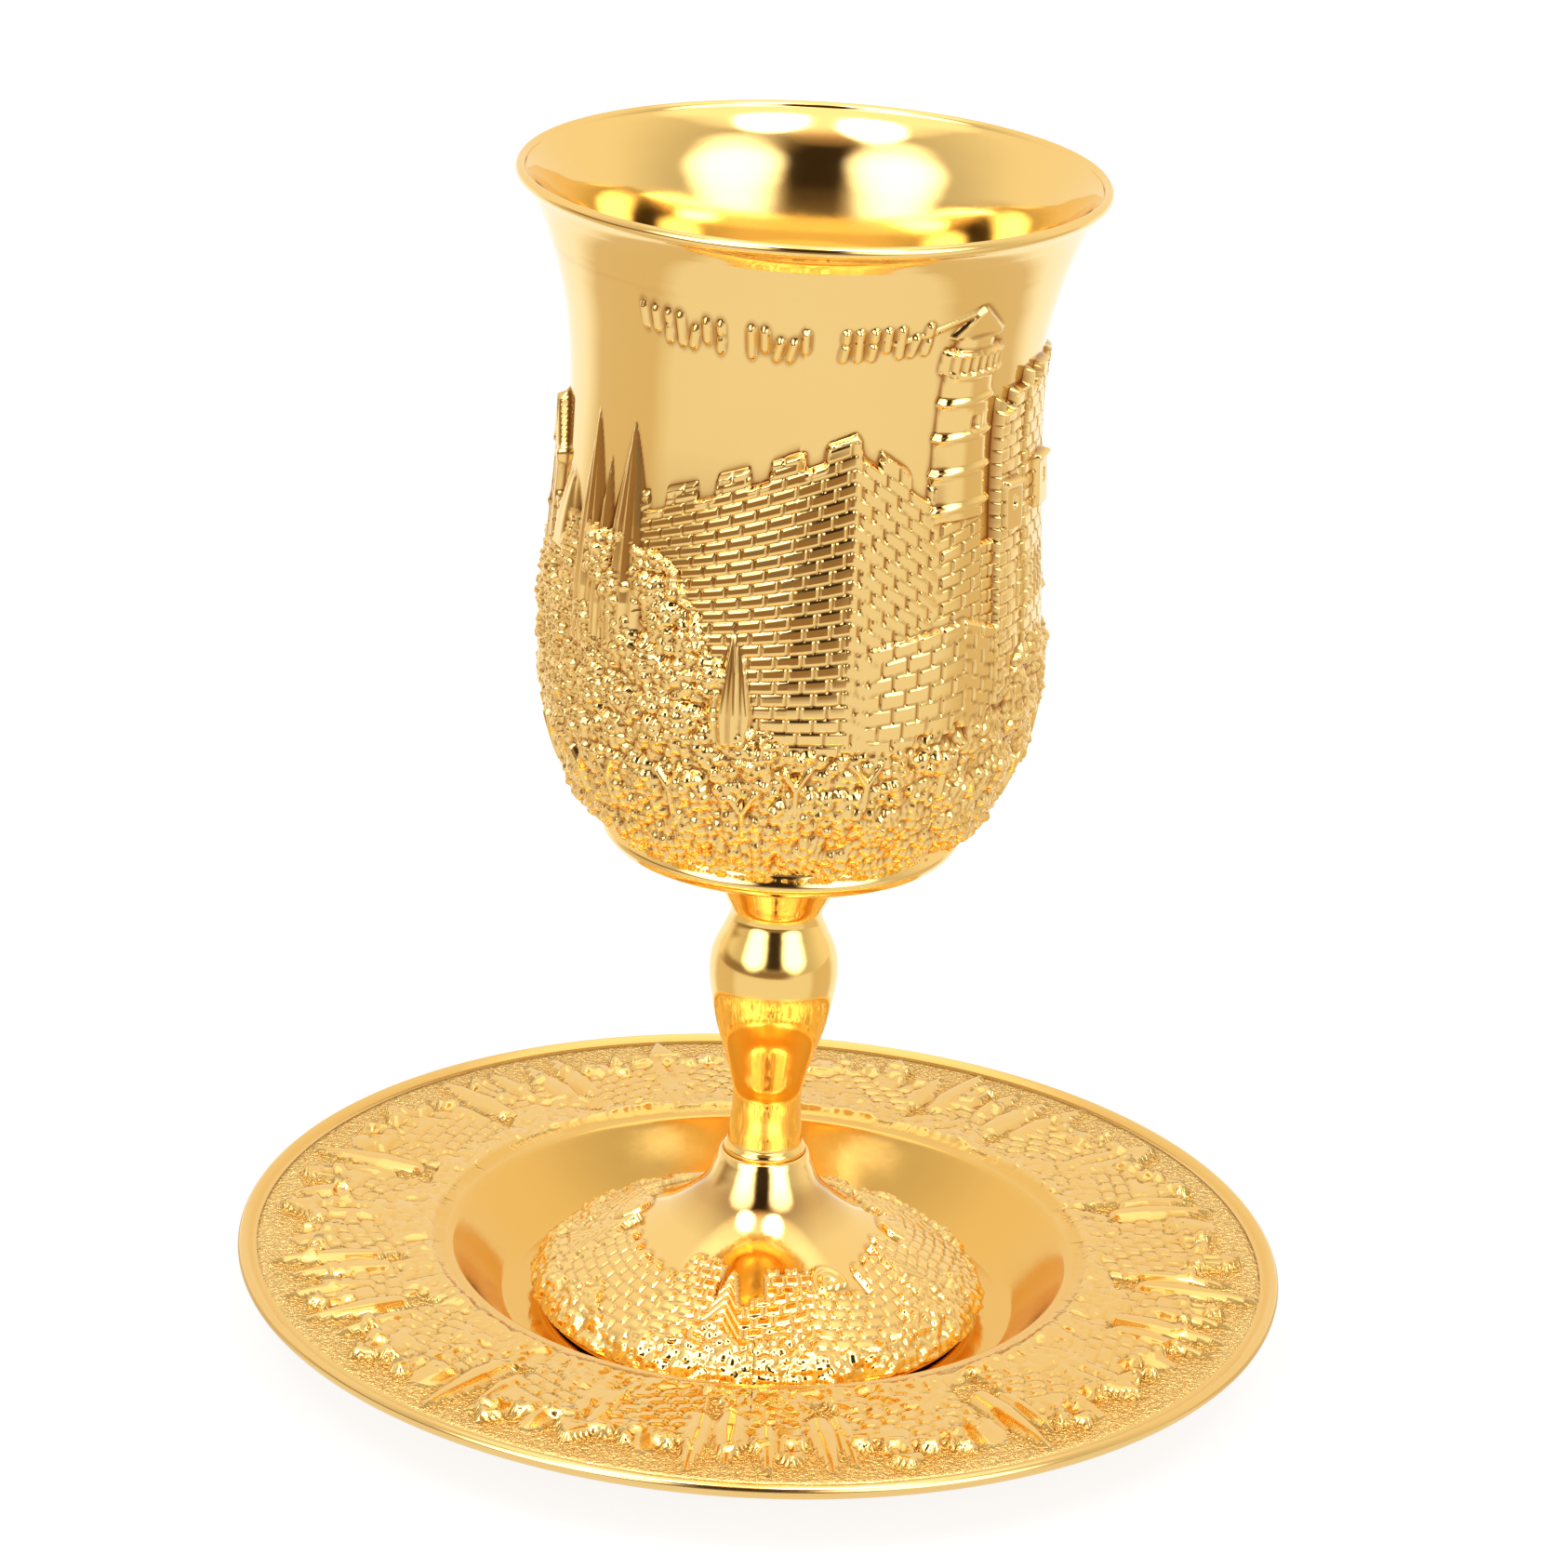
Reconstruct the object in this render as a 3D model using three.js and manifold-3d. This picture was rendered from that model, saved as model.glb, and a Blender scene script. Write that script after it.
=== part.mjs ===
// A goblet on its saucer: bowl, stem and foot, each turned and then carved in relief.
// Millimetres, +Z up. The origin is the middle of the saucer's underside.
// Angles round the pieces are degrees from the front (-Y) towards +X.
import * as THREE from 'three';
import { mergeVertices } from 'three/addons/utils/BufferGeometryUtils.js';
import Module from 'manifold-3d';

// Saucer
const saucerRadius = 70;
const saucerBeadRadius = 1.0;
const saucerFloorRadius = 34;
const saucerFloorThickness = 2.0;
const saucerBaseRadius = 33;
const wellEdgeRadius = 41.2;
const wellDepth = 8.4;
const flangeThickness = 1.5;
const flangeBorder = 2.4;
const flangeCarving = 0.8;

// Clearance left between two pieces that rest on each other
const seatGap = 0.3;

// Foot
const footRadius = 29.6;
const footHeight = 22.2;
const footWall = 2.0;
const footCollarRadius = 5.75;
const footSeatDepth = 0.7;
const footCarving = 0.7;

// Stem
const stemLength = 44.9;
const stemBottomRadius = 5.2;
const stemWaistRadius = 4.6;
const stemBulbRadius = 8.55;
const stemNeckRadius = 6.1;
const stemTopRadius = 10.5;

// Bowl
const bowlHeight = 89.5;
const bowlWall = 1.7;
const bowlFloorThickness = 4.4;
const ringRadius = 23.5;
const ringHeight = 3.7;
const bellyRadius = 31.2;
const waistRadius = 29.75;
const rimRadius = 37.5;
const lipWidth = 2.4;
const wallCarving = 0.8;
const leafCarving = 1.2;
const towerCarving = 1.4;
const towerRadius = 4.9;

// Numbers of flat faces round each turned piece
const bowlFacets = 84;
const bowlInnerFacets = 42;
const footFacets = 42;
const stemFacets = 26;
const saucerFacets = 60;

// Levels of the stack, from the table up
const footBottom = saucerFloorThickness + seatGap;
const stemBottom = footBottom + footHeight - footSeatDepth + seatGap;
const bowlBottom = stemBottom + stemLength + seatGap;
const flangeLevel = saucerFloorThickness + wellDepth;

const wasm = await Module();
wasm.setup();

const gold = { color: 0xe8b04a, roughness: 0.16, metalness: 1.0 };

// A smooth run of radii through [level, radius] stations, read at one level
function radiusAt(stations, level) {
  const last = stations.length - 1;
  let i = 0;
  while (i < last - 1 && level > stations[i + 1][0]) i += 1;
  const slope = (k) => {
    const a = stations[Math.max(k - 1, 0)];
    const b = stations[Math.min(k + 1, last)];
    return (b[1] - a[1]) / (b[0] - a[0]);
  };
  const [z0, r0] = stations[i];
  const [z1, r1] = stations[i + 1];
  const span = z1 - z0;
  const t = THREE.MathUtils.clamp((level - z0) / span, 0, 1);
  const t2 = t * t;
  const t3 = t2 * t;
  return (2 * t3 - 3 * t2 + 1) * r0 + (t3 - 2 * t2 + t) * span * slope(i)
    + (3 * t2 - 2 * t3) * r1 + (t3 - t2) * span * slope(i + 1);
}

// Turns a profile round Z. profileAt(angle) gives the [radius, level] pairs at that angle,
// always the same number of them, so that a carved surface is a profile that changes.
function turned(profileAt, facets) {
  const points = profileAt(0).map(([r, z]) => new THREE.Vector2(r, z));
  const geometry = new THREE.LatheGeometry(points, facets);
  const position = geometry.attributes.position;
  for (let i = 0; i <= facets; i += 1) {
    const angle = (i % facets) * 360 / facets;
    const turn = THREE.MathUtils.degToRad(angle);
    profileAt(angle).forEach(([r, z], j) => {
      position.setXYZ(i * points.length + j, r * Math.sin(turn), z, r * Math.cos(turn));
    });
  }
  return geometry.rotateX(Math.PI / 2);
}

// Closed mesh to solid: shared corners joined and empty triangles dropped
function toSolid(geometry) {
  const bare = new THREE.BufferGeometry();
  bare.setAttribute('position', geometry.attributes.position.clone());
  if (geometry.index) bare.setIndex(geometry.index.clone());
  const joined = mergeVertices(bare, 1e-4);
  const corners = joined.index.array;
  const triangles = [];
  for (let i = 0; i < corners.length; i += 3) {
    const [a, b, c] = [corners[i], corners[i + 1], corners[i + 2]];
    if (a !== b && b !== c && c !== a) triangles.push(a, b, c);
  }
  const vertProperties = new Float32Array(joined.attributes.position.array);
  const triVerts = new Uint32Array(triangles);
  return new wasm.Manifold(new wasm.Mesh({ numProp: 3, vertProperties, triVerts }));
}

function toGeometry(solid) {
  const mesh = solid.getMesh();
  const geometry = new THREE.BufferGeometry();
  const stride = mesh.numProp;
  const count = mesh.vertProperties.length / stride;
  const positions = new Float32Array(count * 3);
  for (let i = 0; i < count; i += 1) {
    for (let k = 0; k < 3; k += 1) positions[i * 3 + k] = mesh.vertProperties[i * stride + k];
  }
  geometry.setAttribute('position', new THREE.BufferAttribute(positions, 3));
  geometry.setIndex(new THREE.BufferAttribute(new Uint32Array(mesh.triVerts), 1));
  geometry.computeVertexNormals();
  return geometry;
}

function sum(solids) {
  return solids.reduce((whole, next) => whole.add(next));
}

// The largest body of a solid, without the crumbs that a cut or a join can leave
function largest(solid) {
  const bodies = solid.decompose();
  return bodies.reduce((best, next) => (next.volume() > best.volume() ? next : best));
}

// A repeatable number from 0 to 1 for a column and a row, for leafy unevenness
function uneven(column, row) {
  const wave = Math.sin(column * 127.1 + row * 311.7) * 43758.5453;
  return wave - Math.floor(wave);
}

// Lays a shape that runs along its own Y from one [radius, level] point of a turned surface
// to another, at an angle round the piece. It stands "proud" of the line between them.
function laidOn(geometry, angle, start, end, proud) {
  const low = new THREE.Vector3(0, -start[0], start[1]);
  const high = new THREE.Vector3(0, -end[0], end[1]);
  const along = high.clone().sub(low);
  const length = along.length();
  const across = new THREE.Vector3(1, 0, 0);
  const outward = new THREE.Vector3().crossVectors(across, along).normalize();
  const place = new THREE.Matrix4().makeBasis(across, along.normalize(), outward);
  const middle = low.add(high).multiplyScalar(0.5);
  geometry.scale(1, length, proud);
  geometry.applyMatrix4(place.setPosition(middle));
  return toSolid(geometry.rotateZ(THREE.MathUtils.degToRad(angle)));
}

// A figure of the relief, one long: an outline turned round its own length, as wide as asked.
// The outline's pairs are [share of the half width, share of the length].
function figure(outline, halfWidth, sides) {
  const points = outline.map(([r, y]) => new THREE.Vector2(r, y - 0.5));
  return new THREE.LatheGeometry(points, sides).scale(halfWidth, 1, 1);
}

// A cypress: widest low down and drawn out to a point
const cypress = [[0, 0], [0.85, 0.1], [1, 0.3], [0.72, 0.65], [0, 1]];

// A domed roof
const cupola = [[0, 0], [0.8, 0.1], [1, 0.4], [0.75, 0.75], [0, 1]];

// A square tower with a pointed roof
const gateTower = [[0, 0], [1, 0], [0.85, 0.74], [1.05, 0.76], [0, 1]];

// A round tower: shaft with cornices, gallery, drum and pointed roof
function roundTower(cornices) {
  const shaft = (level) => 0.95 - 0.2 * level;
  const outline = [[0, 0], [shaft(0), 0]];
  for (let i = 0; i < cornices; i += 1) {
    const level = 0.08 + i * 0.165;
    outline.push([shaft(level), level], [shaft(level) * 1.2, level + 0.02], [shaft(level), level + 0.04]);
  }
  outline.push([shaft(0.7), 0.68], [1, 0.72], [1, 0.8], [0.6, 0.81], [0.6, 0.87], [0.9, 0.88], [0, 1]);
  return outline;
}

// Bowl: turned form without carving, in shares of its height
const bowlLevel = (share) => bowlBottom + share * bowlHeight;
const ringMiddle = bowlBottom + ringHeight / 2;
const bowlStations = [
  [bowlBottom + ringHeight, ringRadius - 0.8],
  [bowlLevel(0.09), ringRadius + 2.6],
  [bowlLevel(0.13), bellyRadius - 3.1],
  [bowlLevel(0.19), bellyRadius - 1.1],
  [bowlLevel(0.28), bellyRadius],
  [bowlLevel(0.41), bellyRadius - 0.2],
  [bowlLevel(0.66), waistRadius],
  [bowlLevel(0.78), waistRadius + 0.6],
  [bowlLevel(0.87), waistRadius + 2.4],
  [bowlLevel(0.93), waistRadius + 4.3],
  [bowlLevel(0.955), waistRadius + 5.6],
];
const bowlRadiusAt = (level) => radiusAt(bowlStations, level);

// The town round the bowl: stretches of wall from one angle to another with the share of the
// bowl's height at which each end's battlement stands, and whether merlons crown it
const townWalls = [
  { from: -40, to: 12, start: 0.56, end: 0.665, merlons: true },
  { from: 12, to: 36, start: 0.665, end: 0.59, merlons: true },
  { from: 36, to: 48, start: 0.63, end: 0.63, merlons: false },
  { from: 48, to: 64, start: 0.735, end: 0.735, merlons: true },
  { from: 64, to: 92, start: 0.765, end: 0.765, merlons: true },
  { from: 92, to: 140, start: 0.6, end: 0.54, merlons: true },
  { from: 140, to: 180, start: 0.54, end: 0.64, merlons: true },
  { from: 180, to: 220, start: 0.64, end: 0.55, merlons: true },
  { from: 220, to: 256, start: 0.5, end: 0.5, merlons: false },
  { from: 256, to: 298, start: 0.53, end: 0.53, merlons: false },
  { from: 298, to: 320, start: 0.52, end: 0.5, merlons: false },
];
const merlonPitch = 360 / 28;
const merlonWidth = merlonPitch * 0.6;
const merlonStart = -32.2;
const merlonShare = 0.026;
const beltShare = 0.235;
const stepHeight = 0.5;

function skylineShare(angle) {
  const wall = townWalls.find((run) => {
    const offset = THREE.MathUtils.euclideanModulo(angle - run.from, 360);
    return offset < run.to - run.from;
  });
  const offset = THREE.MathUtils.euclideanModulo(angle - wall.from, 360);
  const line = THREE.MathUtils.lerp(wall.start, wall.end, offset / (wall.to - wall.from));
  const pastMerlon = THREE.MathUtils.euclideanModulo(angle - merlonStart, merlonPitch);
  const raised = wall.merlons && pastMerlon < merlonWidth;
  return raised ? line + merlonShare : line;
}

// Leaves crowd the foot of the town: deep at the belt, thin above the wall's foot
function leafDepth(angle, row) {
  return leafCarving * (0.75 + 0.5 * uneven(Math.round(angle), row));
}

function bowlOuter(angle) {
  const top = bowlLevel(skylineShare(angle));
  const belt = bowlLevel(beltShare);
  const rise = top - belt;
  const crown = bowlLevel(0.885);
  const carved = (level, depth) => [bowlRadiusAt(level) + depth, level];
  const half = ringHeight / 2;
  const leaves = [0.085, 0.13, 0.19].map((share, row) => (
    carved(bowlLevel(share), leafDepth(angle, row))));
  const lipLevel = bowlBottom + bowlHeight;
  return [
    [0, bowlBottom],
    [ringRadius - half, bowlBottom],
    [ringRadius - 0.1 * half, ringMiddle - 0.4 * half],
    [ringRadius - 0.1 * half, ringMiddle + 0.4 * half],
    [ringRadius - 0.8, ringMiddle + half],
    ...leaves,
    carved(belt + rise * 0.08, wallCarving + 0.3 * leafCarving * uneven(Math.round(angle), 9)),
    carved(belt + rise * 0.45, wallCarving),
    carved(top, wallCarving),
    carved(top + stepHeight, 0),
    carved((top + stepHeight + crown) / 2, 0),
    carved(crown, 0),
    carved(bowlLevel(0.93), 0),
    [rimRadius - 2.3, lipLevel - 4.4],
    [rimRadius - 0.25, lipLevel - 2.6],
    [rimRadius, lipLevel - 1.2],
    [rimRadius - 1.1, lipLevel],
    [rimRadius - lipWidth, lipLevel - 0.35],
    [0, lipLevel - 0.35],
  ];
}

function bowlCavity() {
  const lipLevel = bowlBottom + bowlHeight;
  const floor = bowlBottom + bowlFloorThickness;
  const inside = (share) => [bowlRadiusAt(bowlLevel(share)) - bowlWall, bowlLevel(share)];
  return [
    [0, floor],
    [ringRadius * 0.45, floor + 0.5],
    [ringRadius * 0.85, floor + 3.4],
    inside(0.15),
    inside(0.24),
    inside(0.45),
    inside(0.72),
    inside(0.86),
    inside(0.93),
    [rimRadius - lipWidth, lipLevel - 0.6],
    [rimRadius - lipWidth, lipLevel + 1],
    [0, lipLevel + 1],
  ];
}

// Lays a shape on the bowl between two shares of its height
function onBowl(shape, angle, fromShare, toShare, proud) {
  const end = (share) => [bowlRadiusAt(bowlLevel(share)), bowlLevel(share)];
  return laidOn(shape, angle, end(fromShare), end(toShare), proud);
}

// Figures of the town as [outline, sides, angle, foot, top, half width, depth], with foot and
// top in shares of the bowl's height
const townFigures = [
  [roundTower(4), 8, 41, 0.58, 0.885, towerRadius, towerCarving],
  [roundTower(1), 8, 122, 0.5, 0.8, towerRadius, towerCarving],
  [gateTower, 8, -82, 0.3, 0.71, 2.2, wallCarving * 1.6],
  [cupola, 8, -70, 0.46, 0.585, 4.6, wallCarving * 1.7],
  [gateTower, 4, 58, 0.56, 0.65, 2.4, towerCarving * 1.2],
  [gateTower, 4, 74, 0.58, 0.67, 2.4, towerCarving * 1.2],
  [cypress, 6, -58, 0.3, 0.665, 3.0, leafCarving * 1.7],
  [cypress, 6, -43, 0.3, 0.68, 3.6, leafCarving * 1.7],
  [cypress, 6, -12, 0.25, 0.4, 2.8, leafCarving * 1.7],
  [cypress, 6, 104, 0.25, 0.6, 3.2, leafCarving * 1.7],
  [cypress, 6, 150, 0.25, 0.5, 3.2, leafCarving * 1.7],
  [cypress, 6, 232, 0.3, 0.64, 3.6, leafCarving * 1.7],
];

function bowl() {
  const figures = townFigures.map(([outline, sides, angle, low, top, half, depth]) => (
    onBowl(figure(outline, half, sides), angle, low, top, depth)));
  const carved = sum([toSolid(turned(bowlOuter, bowlFacets)), ...figures]);
  return carved.subtract(toSolid(turned(bowlCavity, bowlInnerFacets)));
}

// Stem: a waisted baluster with a bulb under its flared head, in shares of its length
function stem() {
  const at = (share, radius) => [radius, stemBottom + share * stemLength];
  return toSolid(turned(() => [
    at(0, 0),
    at(0, stemBottomRadius),
    at(0.07, (stemWaistRadius + stemBottomRadius) / 2),
    at(0.2, stemWaistRadius),
    at(0.3, THREE.MathUtils.lerp(stemWaistRadius, stemBulbRadius, 0.27)),
    at(0.42, THREE.MathUtils.lerp(stemWaistRadius, stemBulbRadius, 0.68)),
    at(0.53, THREE.MathUtils.lerp(stemWaistRadius, stemBulbRadius, 0.94)),
    at(0.6, stemBulbRadius),
    at(0.66, THREE.MathUtils.lerp(stemNeckRadius, stemBulbRadius, 0.82)),
    at(0.73, THREE.MathUtils.lerp(stemNeckRadius, stemBulbRadius, 0.25)),
    at(0.78, stemNeckRadius),
    at(0.84, THREE.MathUtils.lerp(stemNeckRadius, stemTopRadius, 0.28)),
    at(0.92, THREE.MathUtils.lerp(stemNeckRadius, stemTopRadius, 0.7)),
    at(1, stemTopRadius),
    at(1, 0),
  ], stemFacets));
}

// Foot: a polished cone that runs out into a low carved dome, hollow and open underneath
const footStations = [
  [footBottom + 0.03 * footHeight, footRadius],
  [footBottom + 0.12 * footHeight, footRadius - 0.5],
  [footBottom + 0.2 * footHeight, footRadius - 2.0],
  [footBottom + 0.3 * footHeight, footRadius - 5.8],
  [footBottom + 0.4 * footHeight, footRadius - 9.6],
  [footBottom + 0.57 * footHeight, footCollarRadius + 7.3],
  [footBottom + 0.75 * footHeight, footCollarRadius + 2.7],
  [footBottom + 0.93 * footHeight, footCollarRadius + 0.7],
  [footBottom + 0.99 * footHeight, footCollarRadius + 0.2],
];
const footRadiusAt = (level) => radiusAt(footStations, level);
const footLevel = (share) => footBottom + share * footHeight;
const footRoofs = 9;

function footCrown(angle) {
  const swing = Math.cos(THREE.MathUtils.degToRad(angle * footRoofs));
  return THREE.MathUtils.clamp(0.5 + 0.07 * swing, 0.3, 0.6);
}

function footOuter(angle) {
  const crown = footCrown(angle);
  const grain = (row) => footCarving * (0.7 + 0.5 * uneven(Math.round(angle), row));
  const carved = (share, depth) => [footRadiusAt(footLevel(share)) + depth, footLevel(share)];
  const seat = footLevel(1) - footSeatDepth;
  return [
    [0, seat],
    [footCollarRadius - 0.2, seat],
    [footCollarRadius - 0.15, footLevel(1)],
    [footCollarRadius + 0.2, footLevel(0.99)],
    carved(0.93, 0),
    carved(0.75, 0),
    carved(crown + 0.02, 0),
    carved(crown, footCarving),
    carved(THREE.MathUtils.lerp(crown, 0.3, 0.5), footCarving),
    carved(0.3, grain(1)),
    carved(0.2, grain(2)),
    carved(0.1, grain(3)),
    [footRadius + footCarving, footLevel(0.03)],
    [footRadius, footBottom],
    [footRadius - footWall, footBottom],
    [footRadius - footWall, footLevel(0.08)],
    [footRadiusAt(footLevel(0.3)) - footWall, footLevel(0.2)],
    [footRadiusAt(footLevel(0.5)) - footWall, footLevel(0.36)],
    [0, footLevel(0.52)],
  ];
}

function foot() {
  return toSolid(turned((angle) => footOuter(angle).reverse(), footFacets));
}

// Saucer: a flat floor, a hollow round the foot and a broad carved border with a rolled edge.
// The towns of its border stand on the hollow's edge and point outward.
const saucerTowns = 5;
const flangeOuter = saucerRadius - flangeBorder;
const flangeInner = wellEdgeRadius + flangeBorder;

function townReach(angle) {
  const step = 360 / saucerFacets * 3;
  return 0.5 + 0.3 * uneven(Math.floor(angle / step), 5);
}

function saucerProfile(angle) {
  const reach = THREE.MathUtils.lerp(flangeInner, flangeOuter, townReach(angle));
  const depth = (row) => flangeCarving * (0.6 + 0.4 * uneven(Math.round(angle), row));
  const under = flangeLevel - flangeThickness;
  const wall = (share, rise) => [
    THREE.MathUtils.lerp(saucerFloorRadius, wellEdgeRadius, share),
    saucerFloorThickness + wellDepth * rise,
  ];
  const bead = (share) => {
    const turn = share * Math.PI;
    const radius = saucerRadius - saucerBeadRadius;
    const level = flangeLevel - saucerBeadRadius / 2;
    return [radius + saucerBeadRadius * Math.sin(turn), level - saucerBeadRadius * Math.cos(turn)];
  };
  return [
    [0, 0],
    [saucerBaseRadius, 0],
    [wellEdgeRadius, under],
    [saucerRadius - saucerBeadRadius * 1.6, under],
    bead(0.1),
    bead(0.5),
    bead(0.8),
    [saucerRadius - saucerBeadRadius * 2.2, flangeLevel - 0.3],
    [reach + 0.7, flangeLevel - 0.1],
    [reach, flangeLevel - 0.1 + flangeCarving * 0.8],
    [THREE.MathUtils.lerp(flangeInner, reach, 0.5), flangeLevel + depth(2)],
    [flangeInner, flangeLevel],
    [wellEdgeRadius, flangeLevel],
    wall(0.5, 0.42),
    wall(0.14, 0.09),
    wall(0, 0),
    [0, saucerFloorThickness],
  ];
}

function saucer() {
  const figureLevel = flangeLevel + 0.1 * flangeCarving;
  const onFlange = (shape, angle, from, to, proud) => {
    const end = (share) => [THREE.MathUtils.lerp(flangeInner, flangeOuter, share), figureLevel];
    return laidOn(shape, angle, end(from), end(to), proud);
  };
  const figures = [];
  for (let i = 0; i < saucerTowns; i += 1) {
    const angle = i * 360 / saucerTowns;
    figures.push(onFlange(figure(cypress, 2.8, 6), angle + 9, 0.13, 0.95, flangeCarving * 1.6));
    figures.push(onFlange(figure(cupola, 4.5, 8), angle + 29, 0.5, 0.85, flangeCarving * 1.6));
    figures.push(onFlange(figure(gateTower, 3.2, 4), angle + 51, 0.13, 0.9, flangeCarving * 1.7));
  }
  return sum([toSolid(turned(saucerProfile, saucerFacets)), ...figures]);
}

function piece(name, solid) {
  const mesh = new THREE.Mesh(toGeometry(largest(solid)), new THREE.MeshStandardMaterial(gold));
  mesh.name = name;
  return mesh;
}

const goblet = new THREE.Group();
goblet.add(piece('saucer', saucer()));
goblet.add(piece('foot', foot()));
goblet.add(piece('stem', stem()));
goblet.add(piece('bowl', bowl()));

export default goblet;
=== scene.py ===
# %% [markdown]
# # A gilded goblet on its saucer
#
# The goblet is cast in parts that screw together: a bell-shaped bowl, a baluster stem and a
# domed foot, standing loose in the hollow of a saucer. Everything is polished brass with a
# gold plating, and a walled town runs round the bowl, the foot and the saucer's border in
# low relief. This lesson dresses the plain CAD solids with that fine relief and that metal.

# %% Load the CAD solids as the fixed frame
import math

import bmesh
import bpy
import numpy as np
from mathutils import Matrix, Vector


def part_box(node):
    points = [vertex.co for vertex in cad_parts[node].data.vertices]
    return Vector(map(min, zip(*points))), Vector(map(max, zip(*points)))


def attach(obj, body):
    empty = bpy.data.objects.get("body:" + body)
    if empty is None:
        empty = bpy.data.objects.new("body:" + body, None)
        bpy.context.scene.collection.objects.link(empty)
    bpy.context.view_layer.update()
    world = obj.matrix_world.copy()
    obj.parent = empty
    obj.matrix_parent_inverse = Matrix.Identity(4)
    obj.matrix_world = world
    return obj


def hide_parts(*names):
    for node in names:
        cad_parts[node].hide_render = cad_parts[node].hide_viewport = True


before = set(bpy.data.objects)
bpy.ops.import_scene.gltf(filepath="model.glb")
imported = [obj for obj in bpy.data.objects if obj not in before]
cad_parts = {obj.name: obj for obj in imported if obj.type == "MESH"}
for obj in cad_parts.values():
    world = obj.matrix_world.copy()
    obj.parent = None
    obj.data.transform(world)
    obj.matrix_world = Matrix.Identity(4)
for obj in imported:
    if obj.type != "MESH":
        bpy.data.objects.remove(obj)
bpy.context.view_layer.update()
print("CAD nodes:", sorted(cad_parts))

# %% [markdown]
# ## The camera
#
# The photograph was taken from about 0.7 m, looking 20 degrees down, with a long lens, so the
# goblet hardly tapers. The camera is rolled a few degrees, because the goblet leans to the
# right in the picture. A look-at matrix made from the three directions of the camera is the
# plainest way to say all that.

# %% Place the camera
MM = 0.001
frame_pixels = 1686
sensor_mm = 36
focal_pixels = 5693
camera_distance = 0.691
camera_pitch = math.radians(20.7)
camera_roll = math.radians(3.0)
aim = Vector((0.0001, 0.0, 0.0766))

forward = Vector((0, math.cos(camera_pitch), -math.sin(camera_pitch)))
level_up = Vector((0, math.sin(camera_pitch), math.cos(camera_pitch)))
right = math.cos(camera_roll) * Vector((1, 0, 0)) + math.sin(camera_roll) * level_up
up = right.cross(forward)

lens = bpy.data.cameras.new("photo_lens")
lens.lens = focal_pixels / frame_pixels * sensor_mm
lens.sensor_width = sensor_mm
camera = bpy.data.objects.new("photo_camera", lens)
bpy.context.scene.collection.objects.link(camera)
turn = Matrix((right, up, -forward)).transposed().to_4x4()
camera.matrix_world = Matrix.Translation(aim - camera_distance * forward) @ turn
bpy.context.scene.camera = camera
print("lens", round(lens.lens, 1), "mm")

# %% [markdown]
# ## Outlines
#
# A turned piece is one outline spun round the Z axis. The outline is given by a few points
# and a smooth curve through them, a Catmull-Rom curve, which passes through every point. A
# point given twice makes a corner there.


# %% Draw a smooth outline through a few points
def smooth_line(points, steps):
    """Points [radius, level] in mm on a curve through the given ones, steps to a stretch."""
    points = np.array(points, float)
    padded = np.vstack([2 * points[0] - points[1], points, 2 * points[-1] - points[-2]])
    share = np.linspace(0, 1, steps, endpoint=False)[:, None]
    stretches = []
    for before, start, end, after in zip(padded, padded[1:], padded[2:], padded[3:]):
        if np.allclose(start, end):
            continue
        if np.allclose(before, start):
            before = start
        if np.allclose(after, end):
            after = end
        bend = 2 * start - 2 * end + (end - before) / 2 + (after - start) / 2
        turn_in = 3 * (end - start) - (end - before) - (after - start) / 2
        stretches.append(start + share * (end - before) / 2 + share**2 * turn_in + share**3 * bend)
    return np.vstack([*stretches, points[-1:]])


def run_through(stations, level):
    """Radii at any levels, on a smooth run through [level, radius] stations."""
    stations = np.array(stations, float)
    levels, radii = stations[:, 0], stations[:, 1]
    slopes = np.empty(len(levels))
    slopes[1:-1] = (radii[2:] - radii[:-2]) / (levels[2:] - levels[:-2])
    slopes[0] = (radii[1] - radii[0]) / (levels[1] - levels[0])
    slopes[-1] = (radii[-1] - radii[-2]) / (levels[-1] - levels[-2])
    i = np.clip(np.searchsorted(levels, level) - 1, 0, len(levels) - 2)
    span = levels[i + 1] - levels[i]
    t = np.clip((level - levels[i]) / span, 0, 1)
    return (
        (2 * t**3 - 3 * t**2 + 1) * radii[i]
        + (t**3 - 2 * t**2 + t) * span * slopes[i]
        + (3 * t**2 - 2 * t**3) * radii[i + 1]
        + (t**3 - t**2) * span * slopes[i + 1]
    )


print("a bulge from 1 to 2 mm, halfway:", run_through([(0, 1), (1, 2), (2, 1)], 0.5), "mm")


# %% Turn an outline into a mesh
def mesh_object(name, bm):
    """Puts a finished bmesh into the scene as a smooth-shaded object at the origin."""
    mesh = bpy.data.meshes.new(name)
    bm.to_mesh(mesh)
    bm.free()
    mesh.shade_smooth()
    made = bpy.data.objects.new(name, mesh)
    bpy.context.scene.collection.objects.link(made)
    return made


def turned_piece(name, outline, steps):
    """Spins an outline of [radius, level] in mm a full turn round Z."""
    bm = bmesh.new()
    points = [bm.verts.new((radius * MM, 0, level * MM)) for radius, level in outline]
    edges = [bm.edges.new(pair) for pair in zip(points, points[1:])]
    bmesh.ops.spin(
        bm, geom=points + edges, cent=(0, 0, 0), axis=(0, 0, 1),
        angle=math.tau, steps=steps, use_merge=True,
    )
    bmesh.ops.remove_doubles(bm, verts=bm.verts, dist=1e-7)
    bmesh.ops.recalc_face_normals(bm, faces=bm.faces)
    return mesh_object(name, bm)


def triangles(piece):
    """How many triangles a piece has once its faces are split."""
    return sum(len(face.vertices) - 2 for face in piece.data.polygons)


print("helpers: turned_piece spins an outline, triangles counts what it made")


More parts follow.
